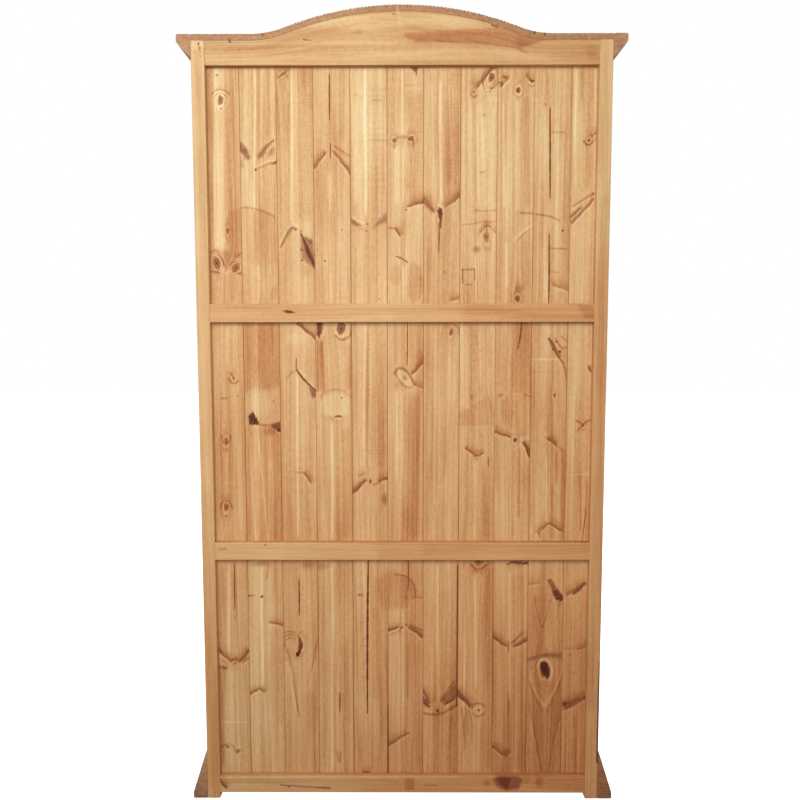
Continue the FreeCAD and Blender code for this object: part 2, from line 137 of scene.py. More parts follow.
# How far apart the points of a mesh are
PLANK_STEP = 0.0016
CRACK_STEP = 0.0008
RAIL_STEP = 0.0018
POST_STEP = 0.0024
PLAIN_STEP = 0.003
LONG_STEP = 0.005
DEPTH_STEP = 0.009
HIDDEN_STEP = 0.014
CLEAT_STEP = 0.004
CLEAT_LONG_STEP = 0.012
SECTION_STEP = 0.004
SHOWN_ROOF_STEP = 0.002
HIDDEN_ROOF_STEP = 0.006
ROOF_WIDTH_STEP = 0.011
SPARSE = 5  # how many times further apart they are where a board has no marks

# How many points there are along the mouldings, and from which angle on an edge is shaded as one
ARCH_POINTS = 201
FLOOR_POINTS = 101
SIDE_POINTS = 41
BOARD_CREASE = math.radians(45)
MOULDING_CREASE = math.radians(40)

ARCH_SLOPE = 2 * math.atan2(ARCH_RISE, ARCH_HALF_SPAN)
ARCH_RADIUS = (ARCH_HALF_SPAN - ARCH_HOLLOW) / math.sin(ARCH_SLOPE)
HOLLOW_RADIUS = ARCH_HOLLOW / math.sin(ARCH_SLOPE)
ARCH_CENTRE_Z = SHOULDER_Z + ARCH_RISE - ARCH_RADIUS


# Small helpers


def smooth(low, high, x):
    """A soft step from 0 at low to 1 at high."""
    t = np.clip((x - low) / (high - low), 0.0, 1.0)
    return t * t * (3.0 - 2.0 * t)


def bell(x):
    return np.exp(-x * x)


CAMERA_TURN = Euler((math.pi / 2 - CAMERA_TILT, CAMERA_ROLL, math.pi + CAMERA_YAW), "XYZ")
CAMERA_AXES = np.array(CAMERA_TURN.to_matrix())  # columns: right, up and backwards


def on_face(px, py, face_y):
    """Where a pixel of the photo falls on an upright plane of the back: (h to the right, v up) in metres."""
    right = (px - IMAGE_SIZE / 2) / FOCAL_PIXELS
    up = (IMAGE_SIZE / 2 - py) / FOCAL_PIXELS
    ray = CAMERA_AXES @ np.array([right, up, -1.0])
    step = (face_y - CAMERA_Y) / ray[1]
    return -CAMERA_X - ray[0] * step, CAMERA_Z + ray[2] * step


def in_photo(h, v, face_y):
    """The pixel of the photo where a place on an upright plane of the back is seen."""
    away = np.stack([-h - CAMERA_X, np.full_like(h, face_y - CAMERA_Y), v - CAMERA_Z], axis=-1) @ CAMERA_AXES
    x = IMAGE_SIZE / 2 - FOCAL_PIXELS * away[..., 0] / away[..., 2]
    y = IMAGE_SIZE / 2 + FOCAL_PIXELS * away[..., 1] / away[..., 2]
    return x, y


def arch_height(x):
    """Height of the underside of the roof at x."""
    x = np.abs(x)
    crown = ARCH_CENTRE_Z + np.sqrt(np.maximum(ARCH_RADIUS**2 - x**2, 0.0))
    inside = np.clip(ARCH_HALF_SPAN - x, 0.0, ARCH_HOLLOW)
    hollow = SHOULDER_Z + HOLLOW_RADIUS - np.sqrt(HOLLOW_RADIUS**2 - inside**2)
    return np.where(x < ARCH_HALF_SPAN - ARCH_HOLLOW, crown, hollow)


def arch_slope(x):
    """Slope of the underside of the roof at x, as an angle."""
    near = np.abs(x)
    crown = -np.arcsin(np.clip(near / ARCH_RADIUS, 0.0, 1.0))
    inside = np.clip(ARCH_HALF_SPAN - near, 0.0, ARCH_HOLLOW)
    hollow = -np.arcsin(inside / HOLLOW_RADIUS)
    return np.sign(x) * np.where(near < ARCH_HALF_SPAN - ARCH_HOLLOW, crown, hollow)


# Marks of the wood. Each one returns a function that paints it on a canvas, the face of one board.


class Canvas:
    """What the marks do to a board, vertex by vertex. x and y are in pixels of the photo, or such steps."""

    def __init__(self, x, y, upright):
        across, along = (x, y) if upright else (y, x)
        ragged = 0.18 * np.sin(1.3 * across + 0.05 * along) + 0.08 * np.sin(3.1 * across)
        self.x = x if upright else x + 2 * ragged
        self.y = y + ragged if upright else y
        slow = 0.25 * np.sin(2.7 * across + 1.3 * np.sin(0.21 * along))
        self.fibre = 0.5 + slow + 0.25 * np.sin(4.9 * across + 2.0 * np.sin(0.13 * along + 1.0))
        self.upright = upright
        self.dark = np.zeros_like(x)
        self.tone = np.zeros_like(x)
        self.warm = np.zeros_like(x)
        self.sink = np.zeros_like(x)
        self.bend = np.zeros_like(x)

    def window(self, points, reach):
        """Which vertices lie within reach of the box round some points, and where they are."""
        xs = [point[0] for point in points]
        ys = [point[1] for point in points]
        near = (self.x > min(xs) - reach) & (self.x < max(xs) + reach)
        near &= (self.y > min(ys) - reach) & (self.y < max(ys) + reach)
        pick = np.flatnonzero(near)
        return pick, self.x[pick], self.y[pick]

    def add(self, pick, dark=None, tone=None, warm=None, sink=None):
        if dark is not None:
            self.dark[pick] = np.maximum(self.dark[pick], dark)
        if tone is not None:
            self.tone[pick] += tone
        if warm is not None:
            self.warm[pick] += warm
        if sink is not None:
            self.sink[pick] = np.maximum(self.sink[pick], sink)

    def fade(self, share):
        self.dark *= share
        self.tone *= share
        self.warm *= share

    def part_fibres(self, x, y, size):
        """The fibres of the wood flow round a knot."""
        right = self.x - x
        down = self.y - y
        u, w = (right, down) if self.upright else (down, right)
        self.bend -= PIXEL * u * size**2 / np.maximum(u**2 + (w / 3.0) ** 2, size**2)


def fine_rows(paint, points, margin=2.5):
    """Notes which rows of the photo a mark needs a fine mesh in."""
    ys = [point[1] for point in points]
    paint.rows = (min(ys) - margin, max(ys) + margin)
    return paint


def leaning(x, y, centre_x, centre_y, lean):
    turn = math.radians(lean)
    right = x - centre_x
    up = centre_y - y
    return right * math.cos(turn) - up * math.sin(turn), right * math.sin(turn) + up * math.cos(turn)


def knot(x, y, rx, ry, lean=0, dark=0.7, rings=0.22, halo=0.1):
    """A branch cut across: a dark heart, a darker rim, a pale halo and rings drawn out along the grain."""

    def paint(c):
        pick, px, py = c.window([(x, y)], 3.5 * max(rx, ry) + 3)
        across, along = leaning(px, py, x, y, lean)
        angle = np.arctan2(across / rx, along / ry)
        ragged = 1 + 0.08 * np.sin(3 * angle + x) + 0.05 * np.sin(5 * angle + y)
        far = np.hypot(across / rx, along / ry) * ragged
        body = 0.6 * dark * (1 - smooth(0.8, 1.15, far))
        heart = dark * (1 - smooth(0.1, 0.7, far))
        rim = 0.85 * dark * bell((far - 0.97) / 0.15) * (0.75 + 0.25 * np.sin(angle + x))
        drawn = np.hypot(across / (1.15 * rx), along / (1.6 * ry)) * ragged
        tone = halo * bell((far - 1.4) / 0.28)
        tone -= rings * (bell((drawn - 1.5) / 0.12) + 0.7 * bell((drawn - 1.95) / 0.12))
        c.add(pick, np.maximum.reduce([body, heart, rim]), tone, 0.35 * bell(far / 1.7))
        c.part_fibres(x, y, 1.3 * max(rx, 1.5))

    return fine_rows(paint, [(x, y - 2 * ry), (x, y + 2 * ry)])


def eye(x, y, rx, ry, lean=0, dark=0.4, rings=0.3):
    """A branch cut at a slant: a leaf of reddish wood inside pale and brown outlines."""

    def paint(c):
        pick, px, py = c.window([(x, y)], 2.5 * max(rx, ry) + 3)
        across, along = leaning(px, py, x, y, lean)
        far = np.abs(across) / rx + (along / ry) ** 2
        inside = 1 - smooth(0.75, 1.05, far)
        streaks = 0.75 + 0.25 * np.cos(2.2 * across + 0.6 * along)
        heart = bell(np.hypot(across / (0.45 * rx), along / (0.4 * ry)))
        tone = -rings * (bell((far - 1.02) / 0.14) + 0.8 * bell((far - 1.85) / 0.16))
        tone += 0.55 * rings * (bell((far - 1.42) / 0.2) + 0.6 * bell((far - 2.3) / 0.22))
        c.add(pick, dark * (0.75 * inside * streaks + 0.45 * heart), tone, 0.5 * inside)
        c.part_fibres(x, y, 1.3 * max(rx, 1.5))

    return fine_rows(paint, [(x, y - 1.4 * ry), (x, y + 1.4 * ry)])


def wing(x0, y0, x1, y1, w0, w1, dark=0.5):
    """A branch cut along its length: a dark streak, soft on its upper side, with a pale line below it."""
    length = math.hypot(x1 - x0, y1 - y0)
    ex = (x1 - x0) / length
    ey = (y1 - y0) / length
    upwards = 1 if ex > 0 else -1

    def paint(c):
        pick, px, py = c.window([(x0, y0), (x1, y1)], 12 + 2 * max(w0, w1))
        right = px - x0
        down = py - y0
        along = right * ex + down * ey
        rise = (right * ey - down * ex) * upwards
        rise = rise + 0.3 * np.sin(0.5 * along + x0)
        fibre = c.fibre[pick]
        width = w0 + (w1 - w0) * np.clip(along / length, 0.0, 1.0)
        ends = smooth(-2.2, 1.6, along) * (1 - smooth(length - 1.6, length + 2.2, along))
        floor = smooth(-width - 0.9, -width + 0.7, rise)
        core = ends * floor * (1 - smooth(-0.4 * width, 1.2 * width + 1.6 + 0.8 * fibre, rise))
        streaks = 0.5 + 0.5 * np.sin(2.1 * rise + 1.6 * np.sin(0.45 * along + x1))
        veil = ends * floor * (1 - smooth(-0.5 * width, 1.5 * width + 6.0 + 3.0 * fibre, rise))
        pale = ends * bell((rise + width + 1.2) / 0.8)
        c.add(pick, dark * core * (0.74 + 0.26 * streaks), 0.12 * pale - 0.42 * dark * veil, 0.45 * veil)

    return fine_rows(paint, [(x0, y0 - w0), (x1, y1 - w1), (x0, y0 + w0), (x1, y1 + w1)])


def curved(nodes):
    """A smooth curve through some points, in short straight steps."""
    given = np.array([nodes[0], *nodes, nodes[-1]], dtype=float)
    result = [given[0]]
    for a, b, c, d in zip(given, given[1:], given[2:], given[3:]):
        for share in (0.25, 0.5, 0.75, 1.0):
            pull = (c - a) * share + (2 * a - 5 * b + 4 * c - d) * share**2
            result.append(b + 0.5 * (pull + (3 * b - a - 3 * c + d) * share**3))
    return result


def along_path(x, y, nodes):
    """Side distance from a path, the share of the way along it, and its half width there."""
    total = sum(math.dist(a[:2], b[:2]) for a, b in zip(nodes, nodes[1:]))
    best = np.full_like(x, FAR_AWAY)
    share = np.zeros_like(x)
    width = np.zeros_like(x)
    gone = 0.0
    for (x0, y0, w0), (x1, y1, w1) in zip(nodes, nodes[1:]):
        length = math.dist((x0, y0), (x1, y1))
        part = np.clip(((x - x0) * (x1 - x0) + (y - y0) * (y1 - y0)) / length**2, 0.0, 1.0)
        far = np.hypot(x - x0 - part * (x1 - x0), y - y0 - part * (y1 - y0))
        closer = far < best
        best = np.where(closer, far, best)
        share = np.where(closer, (gone + part * length) / total, share)
        width = np.where(closer, w0 + (w1 - w0) * part, width)
        gone += length
    return best, share, width


def swathe(*nodes, dark=0.0, tone=0.0, warm=0.0, soft=0.6, lines=0.3):
    """A tapering stroke through (x, y, half width) points."""

    def paint(c):
        pick, px, py = c.window(nodes, 3 * max(node[2] for node in nodes) + 3)
        far, _, width = along_path(px, py, curved(nodes) if len(nodes) > 2 else nodes)
        wide = np.maximum(width, 0.6)
        mask = np.exp(-1.1 * np.maximum(far / wide - 0.15, 0.0) ** (3.0 - 1.4 * soft))
        mask *= np.minimum(1.0, 0.35 + 0.65 * width / wide) * (1 - lines * (1 - c.fibre[pick]))
        c.add(pick, dark * mask, tone * mask, warm * mask)

    return fine_rows(paint, nodes)


def smear(*nodes, **looks):
    """A stroke that covers the fibres of the wood."""
    return swathe(*nodes, lines=0.0, **looks)


def line(width, tone, *points):
    """A thin stroke through some points."""
    nodes = [(x, y, 1.15 * width) for x, y in points]
    return swathe(*nodes, tone=0.8 * tone, warm=max(0.0, -tone), lines=0.2)


def crack(width, dark, *points):
    """A split along the grain, uneven and pointed at both ends."""
    nodes = [(x, y, width) for x, y in points]

    def paint(c):
        pick, px, py = c.window(points, 4)
        far, share, _ = along_path(px, py, nodes)
        uneven = 1 + 0.3 * np.sin(0.53 * py + px.mean()) * np.sin(0.21 * py)
        wide = width * uneven * (0.3 + 0.7 * np.sin(np.pi * np.clip(share, 0.02, 0.98)) ** 0.5)
        mask = 1 - smooth(0.4 * wide, wide + 0.4, far)
        c.add(pick, dark * mask, None, 0.4 * bell(far / 2.5) + 0.8 * mask, CRACK_DEPTH * mask)

    paint.path = points
    return paint


def speck(x, y, size, dark):
    """A small dark spot."""

    def paint(c):
        pick, px, py = c.window([(x, y)], 2 * size)
        c.add(pick, dark * (1 - smooth(0.5, 1.5, np.hypot(px - x, py - y) / size)))

    return fine_rows(paint, [(x, y)])


def band(x, y0, y1, half, tone, warm=0.0, soft=0.6):
    """A streak along an upright board."""

    def paint(c):
        pick, px, py = c.window([(x, y0), (x, y1)], 2 * half + 4)
        sway = 0.4 * np.sin(0.017 * py + x) + 0.25 * np.sin(0.05 * py + 2 * x)
        mask = 1 - smooth(1 - soft, 1.0, np.abs(px - x + sway) / max(half, 0.8))
        mask *= smooth(y0 - 2, y0 + 7, py) * (1 - smooth(y1 - 7, y1 + 2, py))
        c.add(pick, None, tone * mask, warm * mask)

    return paint


def patch(x, y, rx, ry, tone=0.0, warm=0.0, dark=0.0, lean=0, edge=0.9, rim=0.0):
    """An oval of another tone, with a soft edge."""

    def paint(c):
        pick, px, py = c.window([(x, y)], 1.4 * max(rx, ry) + 2)
        across, along = leaning(px, py, x, y, lean)
        angle = np.arctan2(across / rx, along / ry)
        ragged = 1 + 0.05 * np.sin(3 * angle + y) + 0.03 * np.sin(7 * angle + x)
        far = np.hypot(across / rx, along / ry) * ragged
        mask = (1 - smooth(1 - edge, 1.0, far)) * (0.75 + 0.5 * (c.fibre[pick] - 0.5))
        c.add(pick, dark * mask, tone * mask - rim * bell((far - 1.0) / 0.07), warm * mask)

    return paint


def blot(points, dark=0.0, tone=0.0, warm=0.0, soft=1.0):
    """A filled outline with a soft edge."""

    def paint(c):
        pick, px, py = c.window(points, 2 * soft + 2)
        far = np.full_like(px, FAR_AWAY)
        inside = np.zeros(len(px), dtype=bool)
        for (x0, y0), (x1, y1) in zip(points, points[1:] + points[:1]):
            part = ((px - x0) * (x1 - x0) + (py - y0) * (y1 - y0)) / math.dist((x0, y0), (x1, y1)) ** 2
            part = np.clip(part, 0.0, 1.0)
            far = np.minimum(far, np.hypot(px - x0 - part * (x1 - x0), py - y0 - part * (y1 - y0)))
            if y0 != y1:
                inside ^= ((y0 > py) != (y1 > py)) & (px < x0 + (py - y0) * (x1 - x0) / (y1 - y0))
        ragged = 0.5 * np.sin(1.9 * px + 0.7 * py) * np.sin(1.1 * py - 0.5 * px) + 0.3 * np.sin(3.3 * px)
        mask = 1 - smooth(-soft, soft, np.where(inside, -far, far) + ragged)
        mask *= 0.8 + 0.2 * c.fibre[pick]
        c.add(pick, dark * mask, tone * mask, warm * mask)

    return fine_rows(paint, points)


def chatter(x0, x1, y0, y1, pitch, tone):
    """Marks that the planer left across the grain."""

    def paint(c):
        pick, px, py = c.window([(x0, y0), (x1, y1)], 1)
        row = (py - y0) / pitch + 0.1 * np.sin(0.5 * px)
        number = np.floor(row)
        chance = np.abs(np.sin(12.99 * number + x0))
        start = x0 + (x1 - x0) * 0.6 * np.abs(np.sin(7.23 * number + y0))
        mask = bell((row - number - 0.5) / 0.2) * chance * smooth(start - 3, start + 3, px)
        mask *= smooth(y0, y0 + 8, py) * (1 - smooth(y1 - 8, y1, py)) * (1 - smooth(x1 - 2, x1, px))
        c.add(pick, None, -tone * mask, 0.5 * tone * mask)

    return fine_rows(paint, [(x0, y0), (x1, y1)], 0)


def wild_marks(seed, width, length, knots, cracks=0):
    """Marks for a board that the photo does not show, in steps of a photo pixel from the board's corner."""
    rng = np.random.default_rng(seed)
    wide = width / PIXEL
    tall = length / PIXEL
    marks = []
    for _ in range(knots):
        x = rng.uniform(0.15, 0.85) * wide
        y = rng.uniform(0.04, 0.96) * tall
        rx = rng.uniform(1.8, 4.0)
        ry = rx * rng.uniform(1.1, 1.6)
        marks.append(knot(x, y, rx, ry, rng.uniform(-25, 25), rng.uniform(0.5, 0.8), 0.06, 0.08))
    for _ in range(max(1, int(wide / 12))):
        x = rng.uniform(0.1, 0.9) * wide
        y = np.sort(rng.uniform(0, 1, 2)) * tall
        marks.append(band(x, y[0], y[1], rng.uniform(1.0, 4.0), rng.uniform(-0.12, 0.25)))
    for _ in range(cracks):
        x = rng.uniform(0.3, 0.7) * wide
        y = rng.uniform(0.1, 0.8) * tall
        marks.append(crack(0.8, 0.65, (x, y), (x + 0.3, y + rng.uniform(20, 50))))
    return marks


# Materials


class Net:
    """Adds nodes to a node tree."""

    def __init__(self, tree):
        self.tree = tree
        tree.nodes.clear()

    def node(self, kind, inputs, **settings):
        node = self.tree.nodes.new("ShaderNode" + kind)
        for key, value in settings.items():
            setattr(node, key, value)
        for key, value in inputs.items():
            if isinstance(value, bpy.types.NodeSocket):
                self.tree.links.new(value, node.inputs[key])
            else:
                node.inputs[key].default_value = value
        return node

    def math(self, operation, a, b, c=0.0):
        return self.node("Math", {0: a, 1: b, 2: c}, operation=operation).outputs[0]

    def noise(self, vector, stretch, detail, roughness=0.55):
        scaled = self.node("VectorMath", {0: vector, 1: stretch}, operation="MULTIPLY").outputs[0]
        settings = {"Vector": scaled, "Scale": 1.0, "Detail": detail, "Roughness": roughness}
        return self.node("TexNoise", settings).outputs[0]

    def ramp(self, value, stops):
        node = self.node("ValToRGB", {0: value})
        elements = node.color_ramp.elements
        while len(elements) < len(stops):
            elements.new(0.5)
        for element, (position, colour) in zip(elements, stops):
            element.position = position
            element.color = (*colour, 1.0)
        return node.outputs[0]

    def mix(self, factor, a, b, blend="MIX"):
        inputs = {0: factor, 6: a, 7: b}
        return self.node("Mix", inputs, data_type="RGBA", blend_type=blend, clamp_factor=True).outputs[2]

    def attribute(self, name, output):
        return self.node("Attribute", {}, attribute_name=name).outputs[output]

    def place(self):
        return self.node("TexCoord", {}).outputs["Object"]


def material(name):
    made = bpy.data.materials.new(name)
    made.use_nodes = True
    return made, Net(made.node_tree)


def finish_surface(net, colour, roughness, height, strength, specular=0.35, metallic=0.0):
    bump = net.node("Bump", {"Strength": strength, "Distance": BUMP_DEPTH, "Height": height})
    surface = {
        "Base Color": colour,
        "Roughness": roughness,
        "Metallic": metallic,
        "Specular IOR Level": specular,
        "Normal": bump.outputs[0],
    }
    shader = net.node("BsdfPrincipled", surface)
    net.node("OutputMaterial", {"Surface": shader.outputs[0]})


HONEY = [
    (0.0, (0.295, 0.112, 0.038)),
    (0.3, (0.495, 0.252, 0.105)),
    (0.55, (0.64, 0.412, 0.196)),
    (0.8, (0.745, 0.56, 0.306)),
    (1.0, (0.825, 0.69, 0.435)),
]
KNOT_WOOD = [
    (0.0, (0.50, 0.272, 0.125)),
    (0.35, (0.34, 0.157, 0.072)),
    (0.7, (0.185, 0.062, 0.027)),
    (1.0, (0.075, 0.018, 0.008)),
]
ROUGH_SAWN = [
    (0.0, (0.225, 0.105, 0.049)),
    (0.5, (0.405, 0.213, 0.104)),
    (1.0, (0.565, 0.33, 0.177)),
]
END_WOOD = [
    (0.3, (0.24, 0.115, 0.06)),
    (0.5, (0.38, 0.20, 0.105)),
    (0.72, (0.52, 0.30, 0.17)),
]
NAIL_GREY = [(0.3, (0.09, 0.075, 0.065)), (0.7, (0.24, 0.21, 0.19))]
FLOOR_WHITE = [(0.3, (0.86, 0.86, 0.86)), (0.7, (0.9, 0.9, 0.9))]
WARM_STAIN = (0.985, 0.785, 0.70, 1.0)
# Colours over a board's joints: over the painted shade on its sides and the stain on its edges
PLANK_JOINT = (0.64, 0.36, 0.15, 1.0)
FRAME_JOINT = (0.56, 0.39, 0.28, 1.0)

# How fine the patterns are, per metre: across the rings, along the board and from board to board
STREAKS = (170.0, 1.8, 9.0)
BROAD_BANDS = (45.0, 1.1, 7.0)
CLOUDS = (9.0, 2.6, 5.0)
FINE_FIBRES = (340.0, 7.0, 5.0)
UNEVEN_STAIN = (240.0, 85.0, 9.0)

# And along x, y and z
END_RINGS = (45.0, 45.0, 160.0)
PORES = (700.0, 700.0, 700.0)
RUST_SPOTS = (900.0, 900.0, 900.0)
FLOOR_CLOUDS = (1.5, 1.5, 1.5)
BUMP_DEPTH = 0.0006


def pine(name, middle, streaks, bands, mottle=0.12, stain=HONEY, joint=FRAME_JOINT):
    """Stained pine. The grain attribute holds (ring, along, board), marks holds (dark, tone, warm)."""
    made, net = material(name)
    grain = net.attribute("grain", "Vector")
    dark, tone, warm = net.node("SeparateXYZ", {0: net.attribute("marks", "Vector")}).outputs
    seam = net.attribute("seam", "Fac")
    streak = net.noise(grain, STREAKS, 3.0, 0.6)
    broad = net.noise(grain, BROAD_BANDS, 2.0)
    cloud = net.noise(grain, CLOUDS, 3.0)
    fine = net.noise(grain, FINE_FIBRES, 2.0)
    value = net.math("MULTIPLY_ADD", streak, streaks, middle - streaks / 2 - bands - 0.1)
    value = net.math("MULTIPLY_ADD", broad, bands, value)
    value = net.math("MULTIPLY_ADD", cloud, bands, value)
    value = net.math("MULTIPLY_ADD", fine, 0.3, net.math("ADD", value, -0.05))
    uneven = net.noise(grain, UNEVEN_STAIN, 3.0)
    value = net.math("MULTIPLY_ADD", uneven, mottle, net.math("ADD", value, -mottle / 2))
    value = net.math("ADD", value, tone)
    colour = net.ramp(value, stain)
    blotched = net.math("MULTIPLY", dark, net.math("MULTIPLY_ADD", uneven, 0.8, 0.6))
    ragged = net.math("MULTIPLY_ADD", fine, 0.2, net.math("ADD", blotched, -0.1))
    core = net.ramp(ragged, KNOT_WOOD)
    cover = net.node("MapRange", {0: ragged, 1: 0.03, 2: 0.5}, interpolation_type="SMOOTHSTEP").outputs[0]
    colour = net.mix(cover, colour, core)
    redness = net.math("MULTIPLY_ADD", cloud, -0.7, net.math("ADD", warm, 0.32))
    colour = net.mix(redness, colour, net.mix(1.0, colour, WARM_STAIN, "MULTIPLY"))
    # The joint colour lies over painted shade on the sides of boards, a stain on the edges of their faces and
    # the roof's saw cuts
    colour = net.mix(seam, colour, net.mix(1.0, colour, joint, "MULTIPLY"))
    height = net.math("MULTIPLY_ADD", streak, 0.6, net.math("MULTIPLY", dark, -0.5))
    roughness = net.math("MULTIPLY_ADD", streak, 0.25, 0.46)
    finish_surface(net, colour, roughness, height, 0.35, 0.18)
    return made


def end_grain(name, pale, red=1.0, rise=0.0):
    """Sawn ends. rise makes them paler upwards from the floor, and red below 1 takes out green and blue."""
    made, net = material(name)
    place = net.place()
    rings = net.noise(place, END_RINGS, 3.0)
    pores = net.noise(place, PORES, 3.0)
    value = net.math("MULTIPLY_ADD", rings, 0.6, net.math("MULTIPLY", pores, 0.4))
    if rise:
        height = net.node("SeparateXYZ", {0: place}).outputs[2]
        value = net.math("MULTIPLY_ADD", height, rise, net.math("ADD", value, -0.05 * rise))
    tint = (pale, pale * red, pale * red**2)
    stops = [(position, tuple(a * b for a, b in zip(tint, colour))) for position, colour in END_WOOD]
    finish_surface(net, net.ramp(value, stops), 0.75, value, 0.5, 0.2)
    return made


def nail_steel(name):
    made, net = material(name)
    spots = net.noise(net.place(), RUST_SPOTS, 3.0)
    roughness = net.math("MULTIPLY_ADD", spots, 0.3, 0.35)
    finish_surface(net, net.ramp(spots, NAIL_GREY), roughness, spots, 0.3, 0.5, 0.9)
    return made


def pale_floor(name):
    made, net = material(name)
    colour = net.ramp(net.noise(net.place(), FLOOR_CLOUDS, 2.0), FLOOR_WHITE)
    glow = {"Emission Color": (1.0, 1.0, 1.0, 1.0), "Emission Strength": 1.1}
    shader = net.node("BsdfPrincipled", {"Base Color": colour, "Roughness": 0.9, **glow})
    net.node("OutputMaterial", {"Surface": shader.outputs[0]})
    return made


PLANK_PINE = pine("plank pine", 0.54, 0.62, 0.55, 0.36, joint=PLANK_JOINT)
FRAME_PINE = pine("frame pine", 0.56, 0.35, 0.36, 0.2)
SHELF_PINE = pine("shelf pine", 0.55, 0.7, 0.5)
ROOF_PINE = pine("roof pine", 0.5, 0.5, 0.4, 0.9, ROUGH_SAWN)
MOULDING_PINE = pine("moulding pine", 0.42, 0.5, 0.4)
END_GRAIN = end_grain("pine end grain", 1.0)
PALE_END_GRAIN = end_grain("pale pine end grain", 1.2)
MID_END_GRAIN = end_grain("middling pine end grain", 1.07)
FOOT_END_GRAIN = end_grain("pine end grain by the floor", 1.0, 1.0, 2.2)
# painted shade: a darker copy of the end grain, for the base moulding's end on the shadow side
SHADED_END_GRAIN = end_grain("pine end grain with painted shade", 0.8, 0.87, 1.2)
STEEL = nail_steel("nail steel")


# Boards


def show(name, data):
    """A new object in the scene."""
    made = bpy.data.objects.new(name, data)
    bpy.context.scene.collection.objects.link(made)
    return made


def write_attributes(mesh, grain, marks, seam):
    for name, values in (("grain", grain), ("marks", marks)):
        layer = mesh.attributes.new(name, "FLOAT_VECTOR", "POINT")
        layer.data.foreach_set("vector", np.ascontiguousarray(values, dtype=np.float32).ravel())
    layer = mesh.attributes.new("seam", "FLOAT", "POINT")
    layer.data.foreach_set("value", np.ascontiguousarray(seam, dtype=np.float32).ravel())


def loft(name, grid, materials):
    """A closed skin over rings of points: grid[station, point, xyz]. Its last two faces are its ends."""
    stations, count, _ = grid.shape
    index = np.arange(stations * count).reshape(stations, count)
    ahead = np.roll(index, -1, axis=1)
    quads = np.stack([index[:-1], ahead[:-1], ahead[1:], index[1:]], axis=-1).reshape(-1, 4)
    ends = [index[0, ::-1], index[-1]]
    points = grid.reshape(-1, 3)
    away = points - points.mean(axis=0)
    corner = away[quads]
    volume = np.einsum("ij,ij->", corner[:, 0], np.cross(corner[:, 1], corner[:, 2]))
    volume += np.einsum("ij,ij->", corner[:, 0], np.cross(corner[:, 2], corner[:, 3]))
    for end in ends:
        middle = away[end].mean(axis=0)
        volume += (np.cross(away[end], away[np.roll(end, -1)]) @ middle).sum()
    if volume < 0:
        quads = quads[:, ::-1]
        ends = [end[::-1] for end in ends]
    corners = np.concatenate([quads.ravel(), *ends])
    first_end = quads.size
    starts = np.concatenate([np.arange(len(quads)) * 4, [first_end, first_end + count]])
    mesh = bpy.data.meshes.new(name)
    mesh.vertices.add(len(points))
    mesh.vertices.foreach_set("co", points.astype(np.float32).ravel())
    mesh.loops.add(len(corners))
    mesh.loops.foreach_set("vertex_index", corners.astype(np.int32))
    mesh.polygons.add(len(starts))
    mesh.polygons.foreach_set("loop_start", starts.astype(np.int32))
    mesh.update(calc_edges=True)
    for made in materials:
        mesh.materials.append(made)
    mesh.polygons.foreach_set("use_smooth", np.ones(len(starts), dtype=bool))
    if len(materials) > 1:
        mesh.polygons[len(starts) - 1].material_index = 1
        mesh.polygons[len(starts) - 2].material_index = 1
    mesh.set_sharp_from_angle(angle=BOARD_CREASE)
    return mesh


def hand_over(piece, node):
    """Each piece rides on the one body and stands in for its node."""
    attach(piece, "root")
    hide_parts(node)


def ring_points(low, high, inner, outer, ease, face, back, high_edge=(), low_edge=()):
    """Outline of a board across its grain: (across, thickness) points, the face first."""
    turns = [math.radians(a) for a in (30, 60, 90)]
    small = min(ease, HIDDEN_EASE)
    ring = [(p, outer) for p in face]
    ring += [(high - ease + ease * math.sin(a), outer - ease + ease * math.cos(a)) for a in turns]
    ring += list(high_edge)
    ring += [(high, inner + small), (high - small, inner)]
    ring += [(p, inner) for p in np.linspace(high - small, low + small, back + 2)[1:-1]]
    ring += [(low + small, inner), (low, inner + small)]
    ring += list(low_edge)
    ring += [(low + ease - ease * math.sin(a), outer - ease + ease * math.cos(a)) for a in turns[::-1]]
    return np.array(ring)


def side_points(low, high, inner, outer, ease, count):
    """Points on the two long sides of a board, for ring_points."""
    depths = np.linspace(outer - ease, inner + HIDDEN_EASE, count)[1:-1]
    return [(high, t) for t in depths], [(low, t) for t in depths[::-1]]


def columns(low, high, ease, spacing, extra=()):
    """Places across the face of a board, with some extra ones that are kept as they are."""
    count = max(2, round((high - low - 2 * ease) / spacing) + 1)
    face = np.linspace(low + ease, high - ease, count)
    if len(extra):
        extra = np.array([p for p in extra if low + 2 * ease < p < high - 2 * ease])
        face = np.array([p for p in face if np.min(np.abs(extra - p), initial=1.0) > CRACK_STEP / 2])
        face = np.sort(np.concatenate([face, extra]))
    return face


def stations(low, high, spacing):
    """Places along a board, closer at its eased ends."""
    inside = np.linspace(low + END_EASE, high - END_EASE, max(2, round((high - low) / spacing)))
    return np.concatenate([[low], inside, [high]])


def marked_stations(start, end, spacing, marked):
    """Places along a board: close together inside the marked spans, and sparse elsewhere."""
    places = stations(start, end, spacing)
    kept = np.arange(len(places)) % SPARSE == 0
    for low, high in marked:
        kept |= (places > low) & (places < high)
    kept[:2] = True
    kept[-2:] = True
    return places[kept]


def axes_of(spec):
    """"-x z y" says which world axis the width, the length and the thickness of a board follow."""
    return [(-1 if word[0] == "-" else 1, "xyz".index(word[-1])) for word in spec.split()]


def spans(node, spec):
    """The (low, high) pairs of a node's box along the width, the length and the thickness of the board."""
    low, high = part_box(node)
    found = []
    for sign, axis in axes_of(spec):
        found.append(tuple(sorted((sign * low[axis], sign * high[axis]))))
    return found


def to_world(spec, *values):
    world = np.zeros((*values[0].shape, 3))
    for (sign, axis), value in zip(axes_of(spec), values):
        world[..., axis] = sign * value
    return world


